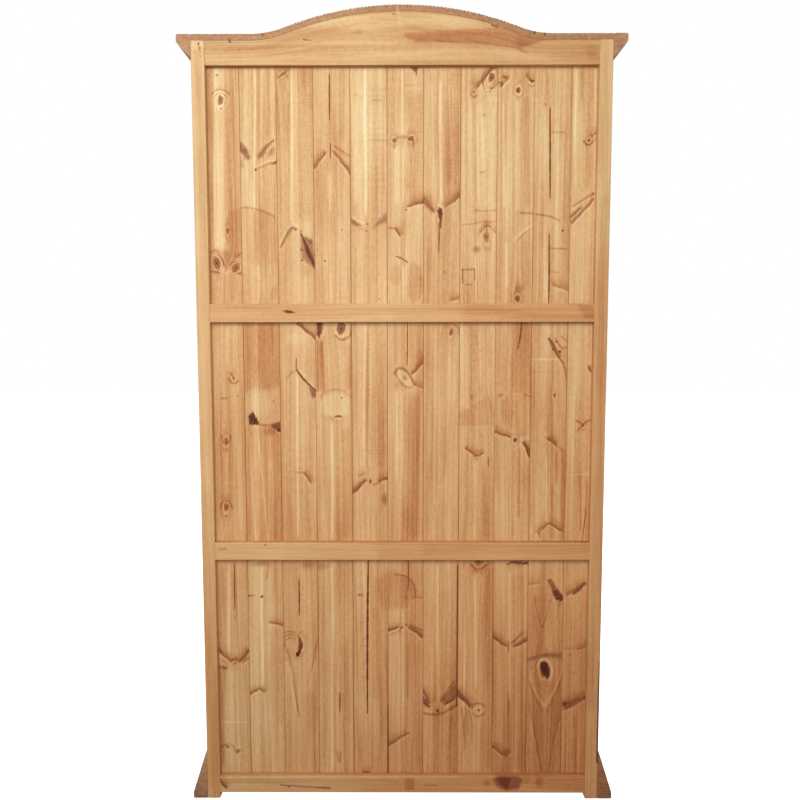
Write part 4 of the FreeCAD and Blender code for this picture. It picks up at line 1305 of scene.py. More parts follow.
PLANK_MARKS[8] = [
    wing(494, 63.5, 476, 87, 2.6, 2.4, 0.52),
    patch(491, 78, 6, 11.5, 0.08, -0.1, lean=22, edge=0.4),
    eye(491.6, 77, 4.6, 12, 20, 0, 0.26),
    knot(491.4, 77.8, 2.6, 4.6, 20, 0.74, 0.1, 0.1),
    line(0.8, -0.42, (482.6, 85), (485.5, 77), (490, 70.5), (497, 67.5)),
    line(0.8, 0.22, (481.3, 84.5), (484, 76), (488.8, 69)),
    line(0.8, -0.36, (499, 70.5), (499.5, 76), (496, 83.5), (490.5, 89)),
    knot(473.7, 91.8, 1.4, 1.7, 0, 0.64, 0.3),
    line(0.7, -0.32, (470.5, 95), (474, 97.5), (478, 95)),
    speck(491.4, 88.4, 1.2, 0.5),
    speck(490.5, 91.8, 1.4, 0.3),
    speck(484.5, 115.1, 1.6, 0.36),
    line(0.6, -0.42, (480, 172.2), (484.5, 172)),
    band(471, 95, 205, 2, 0.1),
    band(478, 100, 205, 1.4, 0.18),
    band(486, 100, 208, 3, 0.06),
    line(0.8, -0.28, (474, 210.6), (486, 210.9), (498, 210)),
    patch(476.8, 248.8, 6.6, 4.6, -0.24, 0.15),
    line(0.8, -0.26, (462, 224.5), (472, 224), (484, 221.6), (496, 221.5)),
    patch(486, 219, 12, 9, -0.09, 0.15, edge=0.6),
    knot(486.5, 237, 2.6, 5, 0, 0.66, 0.18),
    swathe((486.7, 226.5, 0.7), (486.6, 233, 1.1), dark=0.52, warm=0.4),
    line(0.8, -0.44, (480.5, 232), (483, 228), (487.3, 225.6), (491.5, 227.5), (495, 232.5)),
    line(0.7, -0.26, (478, 236), (480, 228.5), (486, 222.8), (493, 224.5), (497, 231)),
    patch(476.5, 249.5, 8, 4.5, -0.22, 0.3),
    line(0.6, -0.48, (462.6, 269.5), (462.6, 283.5)),
    line(0.6, -0.48, (474.6, 269.5), (474.6, 280)),
    line(0.6, -0.4, (463, 269.3), (474.5, 269.3)),
    line(0.6, -0.36, (466, 284.5), (471.5, 284.5)),
    speck(467, 270.3, 0.9, 0.5),
    speck(470.5, 270, 0.9, 0.5),
    band(475.7, 255, 304, 1.2, 0.28),
    *[speck(479 + 2.5 * math.sin(5 * k), 330 + 7 * k, 0.7, 0.42) for k in range(6)],
    band(480, 322, 380, 2, 0.12),
    knot(471.6, 397, 1.1, 2.3, 0, 0.6, 0.05, 0.03),
    line(0.9, -0.1, (458, 424), (475, 424.6), (493, 424)),
    line(0.9, -0.14, (488, 397), (490.5, 405), (494, 417)),
    blot([(456, 424), (458, 414), (482, 399), (492, 398), (495, 424)], tone=-0.07, warm=0.2, soft=1.8),
    band(464, 322, 412, 7, 0.12, -0.2),
    wing(465.5, 447.3, 476, 456, 1.3, 1.3, 0.52),
    knot(476.8, 455.4, 1.6, 1.5, 0, 0.64, 0.25),
    wing(478.5, 455.2, 484, 452.6, 1, 0.9, 0.44),
    crack(0.5, 0.62, (488.4, 458), (488.6, 467.5)),
    band(474, 460, 541, 1.5, 0.22),
    band(486, 468, 541, 5, -0.07, 0.2),
    knot(478.6, 561.5, 4.4, 4.2, 0, 0.7, 0.3),
    line(0.8, -0.42, (471.5, 565), (478.5, 569.5), (486, 565)),
    band(464, 566, 690, 1.4, 0.14),
    band(475.7, 570, 690, 1.9, 0.22),
    wing(456.5, 690.5, 471.8, 706.4, 3.4, 2.2, 0.62),
    patch(463.5, 703.5, 4, 4.6, 0.12, -0.15, edge=0.8),
    patch(478.6, 710.3, 6.2, 6.6, 0.08, -0.1, edge=0.3, rim=0.12),
    swathe((461.5, 709, 1.4), (463.2, 724, 1.1), (464, 742, 0.5), dark=0.44, warm=0.3, lines=0.6),
    swathe((465.6, 708, 1.5), (467.4, 720, 1.2), (468, 735, 0.5), dark=0.42, warm=0.3, lines=0.6),
    swathe((468.6, 710, 1.3), (471.4, 720, 1.1), (472.4, 733, 0.5), dark=0.42, warm=0.3, lines=0.6),
    line(0.8, -0.4, (471.6, 709), (474.4, 704.6), (480, 703.4), (484.6, 706.6)),
    line(0.8, -0.36, (473.4, 713.4), (478, 716.6), (484, 713.6)),
    knot(478.6, 710.3, 1.6, 1.8, 0, 0.58, 0, 0.2),
    band(464.5, 712, 752, 2, -0.17, -0.1),
    band(470.5, 712, 745, 1.3, -0.17, -0.1),
    band(488, 566, 772, 4, -0.1, 0.25),
]
PLANK_MARKS[9] = [
    patch(505, 77, 6, 6, -0.1, 0.2),
    wing(508.5, 75.5, 500, 86, 1.9, 2.3, 0.3),
    swathe((502.4, 76.4, 0.8), (505.2, 77.2, 1.3), (507.4, 78.8, 0.8), dark=0.66, warm=0.1),
    swathe((499.6, 82.6, 0.8), (502.4, 83.4, 1.4), (501, 86.4, 1.1), dark=0.7, warm=0.1),
    speck(502, 89, 1.4, 0.28),
    line(0.8, 0.22, (508.8, 81.6), (504.6, 85.4), (501.4, 90)),
    knot(518.4, 90.2, 2.3, 2.9, 0, 0.9, 0.3, 0.2),
    patch(521, 78, 10, 8, -0.11, 0.15),
    wing(526.5, 73.6, 532, 81, 1.8, 1.6, 0.46),
    swathe((529.8, 80, 1), (532, 81, 1.7), (534.8, 80.6, 0.9), dark=0.8, warm=0.1),
    line(0.8, 0.2, (529.2, 82.6), (532, 84.4), (535, 82.8)),
    line(0.8, -0.34, (529, 84.6), (532, 86.2), (535.6, 84.4)),
    band(503.5, 98, 209, 1.6, 0.18),
    band(509, 98, 209, 2.2, 0.12),
    band(517, 98, 212, 2.6, 0.14),
    band(527, 95, 210, 4.5, -0.08, 0.15),
    line(0.8, -0.46, (520.4, 212.9), (530, 213.3), (538, 214.4)),
    smear((514, 240, 1.6), (524, 230.5, 1.6), (536, 223.5, 1.4), tone=0.14),
    line(0.8, -0.24, (518, 240), (527, 231), (537, 225.6)),
    patch(527, 260, 9, 34, -0.08, 0.2, edge=0.4),
    band(507, 242, 290, 2.4, 0.16),
    patch(519.5, 287.5, 7.5, 6, -0.3, 0.1, 0.14),
    knot(517.5, 298.7, 2.5, 3.2, 0, 0.92, 0.3, 0.15),
    crack(0.75, 0.78, (521.6, 322), (521, 333), (518.1, 349)),
    blot(
        [(513, 322), (531, 322), (532, 394), (509, 393), (509.8, 368), (512.4, 350)],
        tone=-0.13, warm=0.4, soft=1.3,
    ),
    blot(
        [(503, 399), (510, 394), (532, 396), (532, 432), (513, 431), (503, 424), (500, 411)],
        tone=-0.11, warm=0.35, soft=2,
    ),
    chatter(510, 530, 352, 395, 3.2, 0.04),
    line(0.7, 0.2, (509.5, 366), (509.8, 391)),
    line(0.9, -0.4, (499, 396), (502, 394.5)),
    line(0.9, -0.36, (524, 394.5), (532, 396.5)),
    *[line(0.5, -0.09, (502 + 2.4 * k, 410 + k % 2), (507 + 2.4 * k, 421 + 2 * (k % 2))) for k in range(6)],
    wing(494, 431.5, 510.5, 437, 1.1, 1.1, 0.56),
    patch(523, 434, 9, 5.5, -0.28, 0.1, 0.1),
    knot(515, 440, 2, 2.2, 0, 0.92, 0.25, 0.1),
    wing(533, 457.5, 523.5, 441.5, 3.6, 1.4, 0.72),
    band(513, 446, 541, 2, -0.13, 0.3),
    band(519, 446, 520, 1.4, -0.19, 0.35),
    patch(526, 480, 7, 30, -0.11, 0.3, edge=0.8),
    chatter(515, 530, 495, 541, 3, 0.1),
    swathe(
        (507, 564.5, 0.7), (513, 562, 1.4), (518, 562.8, 2), (522, 561.6, 1), dark=0.6, warm=0.2, lines=0.2,
    ),
    swathe((521.5, 563.8, 1), (526.8, 563, 1.6), dark=0.75, lines=0.2),
    patch(517, 565.5, 11, 4.5, -0.2, 0.2),
    band(509, 568, 700, 1.7, 0.24, soft=0.5),
    wing(491, 634.5, 506.5, 646.2, 2.4, 1.2, 0.56),
    wing(529.5, 638, 513.5, 646.6, 2.6, 1.1, 0.56),
    line(0.8, -0.36, (511.5, 643.5), (523, 632)),
    line(0.8, 0.2, (513, 645), (525.5, 634.5)),
    swathe((508.6, 642, 0.8), (508.5, 652, 0.6), dark=0.48, warm=0.4),
    band(520, 572, 772, 8, -0.11, 0.25, soft=0.35),
    crack(0.5, 0.52, (508.1, 692), (508.3, 717)),
    wing(491.5, 745, 504.5, 755.5, 1.7, 1.1, 0.56),
    wing(510.4, 750.8, 506, 757, 1.1, 0.9, 0.52),
]
PLANK_MARKS[10] = [
    crack(0.85, 0.76, (550.2, 108), (550.3, 150), (550.2, 200)),
    band(548, 72, 112, 1.8, -0.07, 0.6),
    band(545, 110, 300, 1.8, 0.14),
    band(557, 66, 300, 3, 0.1),
    line(0.6, -0.32, (552, 132), (564, 132.4)),
    speck(545.2, 104, 1, 0.48),
    speck(562.6, 230.7, 1.4, 0.62),
    line(0.8, -0.42, (536, 214.2), (546, 215.6), (553, 217.6), (559, 220.6)),
    patch(548, 243, 12, 24, -0.05, 0.12, edge=0.5),
    crack(0.75, 0.78, (549.3, 234), (549.3, 270), (548.8, 305)),
    line(0.7, -0.42, (551.5, 248.3), (566, 248.8)),
    line(0.6, -0.3, (552, 271.8), (558, 272.6)),
    wing(551.5, 284, 571, 289, 1.5, 2.6, 0.32),
    patch(559, 350, 8, 12, -0.07, 0.25, edge=0.8),
    swathe(
        (548.9, 338.6, 1.3), (552.5, 344.2, 2.3), (555.6, 351, 2), (559, 357.6, 1.2), dark=0.62, warm=0.5,
    ),
    swathe((559, 357.6, 1), (563, 363, 1.3), (565.4, 371, 0.8), (566, 381, 0.5), dark=0.5, warm=0.5),
    speck(553.2, 349.4, 1.2, 0.8),
    speck(560, 351.4, 1.3, 0.8),
    speck(556, 341.6, 1, 0.7),
    swathe(
        (555.5, 337.4, 0.6), (558, 342.8, 1.1), (562.6, 348.6, 1.1), (567, 346.8, 0.6), dark=0.42, warm=0.4,
    ),
    swathe((553.6, 350, 0.7), (558.6, 351.8, 1.2), (561.2, 357, 0.8), dark=0.45, warm=0.4),
    line(0.8, 0.18, (554.4, 342.6), (559.6, 349.4)),
    line(0.7, -0.3, (561.5, 336), (568, 342.4)),
    line(0.55, 0.32, (532.8, 359.5), (558.4, 359.2)),
    line(0.8, -0.12, (533, 372), (548, 371.5)),
    band(550, 385, 436, 1.3, -0.1, 0.3),
    knot(554.6, 395.3, 1.3, 2.6, 0, 0.66, 0.05, 0.04),
    wing(547.5, 437.4, 556.5, 444.8, 1.4, 1.6, 0.64),
    line(0.8, -0.32, (557, 446), (563, 450.5)),
    band(556, 448, 485, 2, -0.15, 0.3),
    band(552.5, 480, 541, 3, -0.13, 0.3),
    band(562.5, 450, 541, 2.2, -0.17, 0.3),
    band(546.5, 452, 525, 1, 0.25),
    wing(537.5, 531.5, 546.5, 523.5, 1.1, 0.9, 0.4),
    line(0.6, -0.55, (548.4, 523.2), (543.4, 528.6), (539, 533.2)),
    line(0.6, -0.5, (535, 531.4), (538.4, 532.8), (539.8, 536.8)),
    wing(548.5, 522.8, 562.5, 530.8, 1.1, 1.4, 0.52),
    line(0.6, 0.28, (550.4, 524.4), (556, 527.6), (562, 530.6)),
    patch(546, 668, 20, 116, -0.1, -0.2, edge=0.3),
    blot(
        [(547, 580), (551, 578), (563.5, 597), (562, 602), (557, 600), (552, 592)],
        0.5, warm=0.2, soft=1.5,
    ),
    blot([(551.8, 591.4), (556.6, 588.4), (563.6, 596.6), (562, 601.8), (555.6, 599.6)], 0.85, soft=1.3),
    smear((551, 583, 0.5), (560, 595, 0.5), tone=0.25),
    smear((549.5, 586, 0.5), (557, 597, 0.5), tone=0.2),
    patch(559, 604, 5, 5, -0.2, 0.1),
    wing(527, 583.5, 540, 583, 1.6, 1, 0.26),
    line(0.8, -0.27, (534.5, 598), (541.6, 626)),
    line(0.8, 0.2, (536.8, 604), (541.8, 624)),
    line(0.8, 0.2, (548.8, 604), (542.2, 624)),
    line(0.8, -0.27, (550.5, 600), (542.4, 627)),
    swathe((526, 660, 2.2), (545, 655.5, 3.2), (565, 656, 4.8), dark=0.48, warm=0.1, soft=0.9),
    patch(545, 674, 13, 20, -0.06, edge=0.5),
    knot(544.9, 669.8, 4.6, 7.6, -8, 0.7, 0.08, 0.2),
    blot(
        [
            (540.6, 662.4), (544, 661), (548, 663.6), (549.6, 669), (549.8, 675.4), (547.4, 680),
            (544.6, 676.4), (541, 671.4), (539.8, 667),
        ], 1, soft=0.9,
    ),
    line(
        0.9, 0.26, (537.6, 668), (538.8, 662.4), (543.6, 658.8), (549.2, 661), (552.2, 667.4), (551.8, 676),
    ),
    line(0.9, 0.22, (531, 672), (531.5, 682), (537, 695), (544.5, 706)),
    line(0.9, 0.22, (562, 664), (560, 676), (553, 692), (545.2, 706)),
    line(0.9, -0.2, (529.5, 682), (535, 697), (543, 712)),
    line(0.9, -0.2, (563, 676), (556, 693), (547, 712)),
    line(0.9, 0.16, (530, 716), (535, 745), (538, 770)),
    line(0.9, -0.2, (529, 706), (537, 745), (541, 770)),
    line(0.9, 0.16, (560, 722), (553, 748), (550, 770)),
    line(0.9, -0.2, (562, 708), (554, 740), (549, 770)),
]
PLANK_MARKS[11] = [
    knot(589, 140.2, 1.7, 1.9, 30, 0.74, 0.4, 0.2),
    line(0.8, -0.42, (583.5, 141), (586, 144), (590, 145)),
    line(0.8, -0.36, (592, 143), (596, 138), (596.5, 133.5)),
    wing(598.5, 130.5, 591, 137.5, 1.8, 1, 0.36),
    knot(593.2, 194, 1.6, 1.8, 0, 0.62, 0.1),
    line(0.9, -0.42, (591.5, 194.5), (583, 200), (573, 206.2)),
    wing(594, 198.8, 570.5, 223.5, 1.3, 1.8, 0.44),
    swathe((581, 207.3, 0.9), (576.5, 211.5, 1.4), (571, 216.5, 1.7), dark=0.52, warm=0.4),
    line(0.9, 0.22, (590, 199), (581, 209.5), (572, 219.5)),
    line(0.9, 0.2, (589, 197.5), (580, 203.5), (573, 209)),
    band(575.5, 66, 190, 1.5, 0.16),
    band(582, 100, 190, 1.5, 0.12),
    band(594.5, 66, 190, 1.4, 0.12),
    band(586, 60, 192, 8, -0.08, 0.1),
    wing(588, 366, 590.8, 372, 1.1, 0.9, 0.58),
    knot(582.6, 425, 1.6, 1.9, 0, 0.76, 0.2),
    line(0.9, -0.44, (576.5, 420.5), (579.5, 422.5), (582, 424)),
    line(0.9, -0.42, (589.5, 420.5), (586, 422), (584, 424)),
    line(0.8, -0.36, (577.5, 430.5), (581, 427)),
    band(580, 470, 535, 1.7, -0.15, 0.3),
    band(586.5, 478, 541, 1.9, -0.15, 0.3),
    line(0.5, 0.25, (570, 474.6), (589, 474.2)),
    crack(0.5, 0.5, (585.6, 508), (585.4, 516), (584, 528), (582.2, 541)),
    wing(586, 582.5, 566, 594.8, 2, 1.7, 0.46),
    blot(
        [(576, 588.4), (583.4, 582.6), (584.6, 584.6), (580.6, 590.6), (574, 595), (571, 594)],
        0.62, soft=1.2,
    ),
    speck(584.6, 583.2, 1.3, 0.62),
    wing(577.5, 649.2, 587, 646, 0.9, 1, 0.46),
    speck(570, 655, 1.2, 0.46),
    line(0.6, -0.26, (564, 648.5), (575, 648)),
    wing(562, 704.3, 586, 696.3, 2.8, 2.2, 0.6),
    blot(
        [
            (563.6, 703.6), (570, 700.6), (584, 696.6), (582, 701.6), (574, 706), (567.6, 709.6),
            (563.6, 711),
        ], 0.56, soft=1.6,
    ),
    blot([(563.4, 702.4), (567.6, 701), (567, 704.6), (563.4, 707)], 0.9),
    speck(584.6, 697, 1.5, 0.78),
    wing(562.5, 709.5, 575, 705, 1.4, 1, 0.3),
    band(575, 712, 772, 3, -0.1, 0.2),
]
PLANK_TONES = {1: -0.02, 3: 0.02, 4: 0.01, 5: 0.02, 8: 0.01, 11: -0.02}
PLANK_GAPS = [0, 0.0003, 0.0002, 0.0002, 0.0004, 0.0004, 0.0003, 0.0005, 0.0002, 0.0002, 0.0003]

HEARTWOOD = [
    (401, 34.3), (416, 31.8), (480, 28.6), (497, 26.8), (522, 30), (552, 38), (521, 48), (496, 44.6),
    (464, 42.3), (416, 41.5),
]
TOP_RAIL_MARKS = [
    blot(HEARTWOOD, tone=-0.22, warm=0.5),
    swathe((440, 35, 1.2), (490, 33, 1.6), (520, 37, 1.6), tone=-0.08, warm=0.2, lines=0.5),
    swathe((414, 41.5, 0.8), (464, 42.2, 0.9), (497, 45.2, 0.9), (522, 48.5, 0.9), tone=-0.2, warm=0.4),
    swathe((524, 42, 8), (560, 46, 13), (604, 50, 14), tone=-0.18, warm=0.2, soft=0.4),
    swathe((517, 48.5, 0.8), (523, 51, 1.6), (528.5, 52.8, 0.7), dark=0.4, warm=0.3),
    patch(440, 21, 62, 10, 0.22, -0.5, edge=0.8),
    patch(350, 22, 80, 12, 0.24, -0.6, edge=0.8),
    patch(358.5, 32, 7, 4.5, -0.16, 0.2),
    smear((491.5, 24.8, 0.7), (497.5, 27, 0.9), (497.4, 28.8, 0.5), dark=0.6),
    smear((504, 29.4, 0.5), (519, 33.4, 0.5), dark=0.4),
    smear((392.3, 14.4, 0.8), (395.5, 13.6, 0.5), dark=0.5),
    smear((203.9, 41, 0.6), (204.5, 66, 0.6), dark=0.4),
    smear((303.4, 39.2, 1), (305.5, 39.8, 0.8), (311, 40.4, 0.4), dark=0.6),
    speck(457.5, 20.2, 1, 0.3),
    speck(371.8, 17.4, 1, 0.3),
    line(0.6, 0.1, (399.6, 9), (399.6, 30)),
    patch(397.5, 13, 1.6, 2.2, 0.2, edge=0.6),
    speck(239.5, 50, 1.2, 0.4),
    speck(229.8, 41.8, 1.4, 0.6),
    patch(592, 51, 8, 11, -0.12, 0.15, edge=0.6),
    patch(320, 52, 100, 11, -0.06),
    line(0.8, -0.12, (226, 51), (300, 46), (345, 47)),
    line(1.2, 0.1, (240, 44), (330, 42), (395, 43)),
]
UPPER_RAIL_MARKS = [
    blot(
        [(282.4, 311.2), (286, 310), (290, 310.3), (295, 312.8), (289.5, 313.4), (285.5, 312.7)],
        1, soft=0.8,
    ),
    blot([(569, 304), (577, 304), (585, 318), (594, 318), (594, 305)], tone=-0.16, warm=0.15, soft=1.2),
    patch(388, 317, 10, 3, 0.1, edge=0.7),
    patch(488, 317.5, 16, 2.5, 0.1, edge=0.7),
    line(0.8, -0.12, (226, 307.5), (270, 308.5)),
    line(0.8, -0.12, (440, 309), (520, 310.5)),
    swathe((470, 312.5, 8), (540, 313, 9), (594, 313, 9), tone=-0.08, warm=0.3, lines=0.2),
]
LOWER_RAIL_MARKS = [
    speck(264.8, 545, 1, 0.6),
    line(0.8, -0.38, (219, 549.4), (226, 549)),
    line(0.8, 0.12, (236, 543), (252, 542.6)),
    swathe((430, 551, 8), (520, 551.5, 9), (590, 552, 9), tone=-0.08, warm=0.3, lines=0.2),
    swathe((222, 551, 7), (270, 551, 8), (370, 551, 8), tone=0.11, warm=-0.3, lines=0.2),
]
BOTTOM_RAIL_MARKS = [
    blot(
        [(492, 780), (497, 776), (519, 776), (523, 780), (519, 789), (506, 791), (497, 787)],
        0.56, -0.15, 0.1, 2.6,
    ),
    blot(
        [(496, 778), (501, 776.4), (512, 777), (510, 785), (508, 790), (502, 787), (498, 783)],
        0.84, soft=2.2,
    ),
    swathe((493, 778.5, 0.8), (508, 776.8, 1.2), (523, 778.5, 0.8), dark=0.35, lines=0.4),
    patch(487, 782.5, 6, 6.5, -0.3, 0.1),
    patch(527, 780, 7, 6, -0.2, 0.1),
    patch(539, 782, 6.5, 8, -0.32, edge=0.8),
    speck(568.5, 785.5, 1.2, 0.4),
    smear((281, 785, 0.8), (310, 787, 0.8), (329, 788, 1.6), dark=0.45),
    speck(281, 784.5, 1, 0.5),
    speck(289, 787, 1.1, 0.5),
    wing(219, 778.5, 226.5, 788, 0.9, 1.6, 0.65),
    patch(223, 785, 4.5, 5, -0.25, 0.3, edge=0.8),
    smear((423, 785.5, 0.6), (437, 785.5, 0.8), dark=0.4),
    *[line(0.7, -0.4, (406 + 2.4 * k, 779), (406 + 2.4 * k, 789)) for k in range(4)],
    # painted highlight along the rail's upper edge, where its top catches the light
    swathe((220, 777.5, 0.7), (420, 776.5, 0.7), (585, 775.5, 0.7), tone=0.25, lines=0.5),
]
POST_MARKS = {
    "rear_post_right": [
        speck(198.5, 44.3, 1.4, 0.6),
        speck(199.6, 48.6, 1.4, 0.55),
        speck(200.6, 55.8, 1.2, 0.35),
        patch(197, 45, 6.5, 6, 0.2, -0.2, edge=0.5),
        speck(195, 52, 1.2, 0.3),
        patch(199.5, 52, 3, 9, -0.12, 0.2, edge=0.8),
        smear((196, 70, 8), (200, 210, 8), tone=-0.05),
        smear((202, 240, 7), (207, 480, 7), tone=0.05, warm=0.2),
        smear((208, 500, 7), (212, 780, 9), tone=-0.05, warm=0.1),
    ],
    "rear_post_left": [
        smear((605, 200, 6), (598, 420, 8), (594, 700, 9), tone=-0.09, warm=0.1),
        smear((601, 300, 7), (594, 480, 7), tone=0.01, warm=0.3),
        # painted shade: a dark line along the post's outer edge, where its side lies in shadow
        smear((599.4, 662, 0.5), (598.5, 705, 1), (597.2, 762, 1), dark=0.8),
    ],
}
ROOF_MARKS = [
    *[
        speck(x, y, 1.2, 0.6)
        for x, y in ((199.4, 39.2), (229.6, 40), (296.2, 26.6), (308.3, 22.4), (436, 10.6))
    ],
    *[speck(x, 4.9, 1, 0.7) for x in (387, 394, 400, 407, 410.5)],
    *[speck(x, y, 1, 0.6) for x, y in ((452, 8.2), (457, 9.2), (464, 10.8), (473, 13.2), (477, 14.3))],
    smear((262.9, 33.4, 1), (262.6, 36.2, 1), dark=1),
    smear((533.2, 31, 1), (532.6, 33.8, 1), dark=1),
    smear((544.6, 33.4, 1.2), (544.2, 36.4, 1.2), dark=1),
    smear((318.6, 14.8, 0.6), (317.8, 17.4, 0.7), dark=0.5),
    smear((463.4, 13, 0.6), (463, 15.6, 0.7), dark=0.5),
    smear((500.4, 20.8, 0.7), (497.8, 25.6, 0.7), dark=0.6),
    smear((399.2, 5.6, 0.8), (397.8, 10.8, 0.9), tone=0.7, warm=-0.3),
    *[
        patch(x, y, 2.2, 1.5, 0.5, -0.2, edge=0.7)
        for x, y in ((191.6, 38), (577.4, 38), (589.3, 38.2), (608.6, 34.6))
    ],
    *[
        patch(x, y, 9, 4, -0.25, 0.2, edge=0.8)
        for x, y in ((222, 37), (330, 13), (372, 8), (430, 8), (486, 19))
    ],
    *[
        patch(x, y, 8, 4, 0.1, edge=0.8)
        for x, y in ((248, 37), (352, 10), (414, 7), (470, 13), (516, 28))
    ],
]


# The back: planks, rails and posts

ON_FRAME = photo_place(BACK_FACE_Y)
ON_PLANKS = photo_place(PLANK_FACE_Y)


def crack_columns(marks):
    """Columns of vertices that follow the cracks of a plank."""
    found = []
    for mark in marks:
        path = getattr(mark, "path", None)
        if path:
            middle = np.mean([on_face(x, y, PLANK_FACE_Y)[0] for x, y in path])
            found += [middle + CRACK_STEP * k for k in range(-2, 3)]
    return sorted(found)


def plank_stations(start, end, marks):
    """Places along a plank: close together where it has marks."""
    marked = []
    for mark in marks:
        if hasattr(mark, "rows"):
            high, low = (on_face(IMAGE_SIZE / 2, y, PLANK_FACE_Y)[1] for y in mark.rows)
            marked.append((low, high))
    return marked_stations(start, end, PLANK_STEP, marked)


def plank_edges(low, high, middle, tongued, grooved):
    """The tongue on the far edge of a plank and the groove in its near edge."""
    tongue = [
        (high, middle + TONGUE_HALF),
        (high + TONGUE, middle + TONGUE_HALF),
        (high + TONGUE, middle - TONGUE_HALF),
        (high, middle - TONGUE_HALF),
    ]
    groove = [
        (low, middle - TONGUE_HALF),
        (low + TONGUE, middle - TONGUE_HALF),
        (low + TONGUE, middle + TONGUE_HALF),
        (low, middle + TONGUE_HALF),
    ]
    return tongue if tongued else [], groove if grooved else []


def back_plank(number):
    node = f"back_plank_{number:02d}"
    (low, high), (start, end), (inner, outer) = spans(node, "-x z y")
    first = number == 1
    last = number == len(PLANK_MARKS)
    low = -INNER_X - PLANK_TUCK if first else low + PLANK_GAPS[number - 1]
    high = INNER_X + PLANK_TUCK if last else high - TONGUE
    marks = PLANK_MARKS[number]
    face = columns(low, high, PLANK_EASE, PLANK_STEP, crack_columns(marks))
    edges = plank_edges(low, high, (inner + outer) / 2, not last, not first)
    ring = ring_points(low, high, inner, outer, PLANK_EASE, face, 6, *edges)
    board = Board("-x z y", ring, plank_stations(start, end, marks), outer, 11.0 + 1.37 * number)
    board.low = low
    board.high = high
    board.side_shade = PLANK_SIDE_SHADE
    board.edge_stain = PLANK_EDGE_STAIN
    board.make(node, marks, PLANK_PINE, ON_PLANKS, tone=PLANK_TONES.get(number, 0.0))


def back_rail(node, marks, seed, tone, warm=0.0, upper_side_shade=0.5, arched=False):
    (low, high), _, (inner, outer) = spans(node, "z x y")
    if arched:
        high = SHOULDER_Z
    reach = INNER_X - RAIL_GAP
    ring = ring_points(low, high, inner, outer, BOARD_EASE, columns(low, high, BOARD_EASE, RAIL_STEP), 4)
    board = Board("z x y", ring, stations(-reach, reach, PLAIN_STEP), outer, seed)
    # Painted shade on the rail's long sides: full on its underside, and as much as given on its top
    board.side_shade = np.where(board.p > (low + high) / 2, upper_side_shade, 1.0)
    if arched:
        share = smooth(0.0, 1.0, (board.p - low) / (high - low))
        board.lift = share * (arch_height(board.q) - SHOULDER_Z)

    def lifted(p, q, t):
        """The upper edge follows the arch, and the fibres below it run straight."""
        return to_world("z x y", p + board.lift, q, t)

    board.make(node, marks, FRAME_PINE, ON_FRAME, False, tone=tone, warm=warm, shape=lifted)


def rear_post(node, seed, tone):
    (low, high), (start, end), (inner, outer) = spans(node, "-x z y")
    edges = side_points(low, high, inner, outer, BOARD_EASE, 8)
    face = columns(low, high, BOARD_EASE, POST_STEP)
    ring = ring_points(low, high, inner, outer, BOARD_EASE, face, 8, *edges)
    board = Board("-x z y", ring, stations(start, end, LONG_STEP), outer, seed)
    board.lean = 0.0
    board.make(node, POST_MARKS[node], FRAME_PINE, ON_FRAME, tone=tone, warm=-0.25)


for number in PLANK_MARKS:
    back_plank(number)
back_rail("back_top_rail", TOP_RAIL_MARKS, 31.0, -0.11, arched=True)
back_rail("back_upper_rail", UPPER_RAIL_MARKS, 32.4, -0.06, 0.12)
back_rail("back_lower_rail", LOWER_RAIL_MARKS, 33.9, -0.04)
back_rail("back_bottom_rail", BOTTOM_RAIL_MARKS, 35.1, -0.08, -0.2, 0.0)
rear_post("rear_post_right", 41.0, 0.01)
rear_post("rear_post_left", 42.6, -0.04)


# The sides, the face frame and the shelves, which the photo does not show

SHELVES = ("bottom_shelf", "shelf_1", "shelf_2", "shelf_3", "shelf_4")

for number, (side, across) in enumerate((("left", "-x"), ("right", "x"))):
    upright = f"y z {across}"
    lying = f"z y {across}"
    base_seed = 100 * (number + 1)
    plain_board(f"front_post_{side}", upright, FRAME_PINE, base_seed + 1, 4)
    rail_span = (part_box(f"front_post_{side}")[1].y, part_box(f"rear_post_{side}")[0].y)
    for step, height in enumerate(("top", "upper", "lower", "bottom")):
        node = f"side_{height}_rail_{side}"
        plain_board(node, lying, FRAME_PINE, base_seed + 10 + step, 1, trim=rail_span)
    for k in (1, 2, 3):
        node = f"side_plank_{side}_{k}"
        plain_board(node, upright, PLANK_PINE, base_seed + 20 + k, 8, cracks=k % 2)
    plain_board(f"front_stile_{side}", "x z -y", FRAME_PINE, base_seed + 31, 5)
rail_span = (-FACE_OPENING_X, FACE_OPENING_X)
plain_board("front_bottom_rail", "z x -y", FRAME_PINE, 301, 3, trim=rail_span)
for number, node in enumerate(SHELVES):
    plain_board(node, "y x z", SHELF_PINE, 320 + number, 9, ease=SHELF_EASE)


def front_arch_rail():
    node = "front_arch_rail"
    (low, _), _, (inner, outer) = spans(node, "z x -y")
    high = SHOULDER_Z
    seed = 305
    ring = ring_points(low, high, inner, outer, BOARD_EASE, columns(low, high, BOARD_EASE, PLAIN_STEP), 4)
    board = Board("z x -y", ring, stations(-FACE_OPENING_X, FACE_OPENING_X, LONG_STEP), outer, seed)

    def lifted(p, q, t):
        share = (p - low) / (high - low)
        return to_world("z x -y", p + share * (arch_height(q) - SHOULDER_Z), q, t)

    marks = wild_marks(seed, high - low, 2 * FACE_OPENING_X, 2)
    place = corner_place(low, -FACE_OPENING_X)
    board.make(node, marks, FRAME_PINE, place, photo=False, shape=lifted)


front_arch_rail()


def join(name, meshes):
    """Several loose bearers as one piece."""
    made = [show(name, mesh) for mesh in meshes]
    with bpy.context.temp_override(active_object=made[0], selected_editable_objects=made):
        bpy.ops.object.join()
    return made[0]


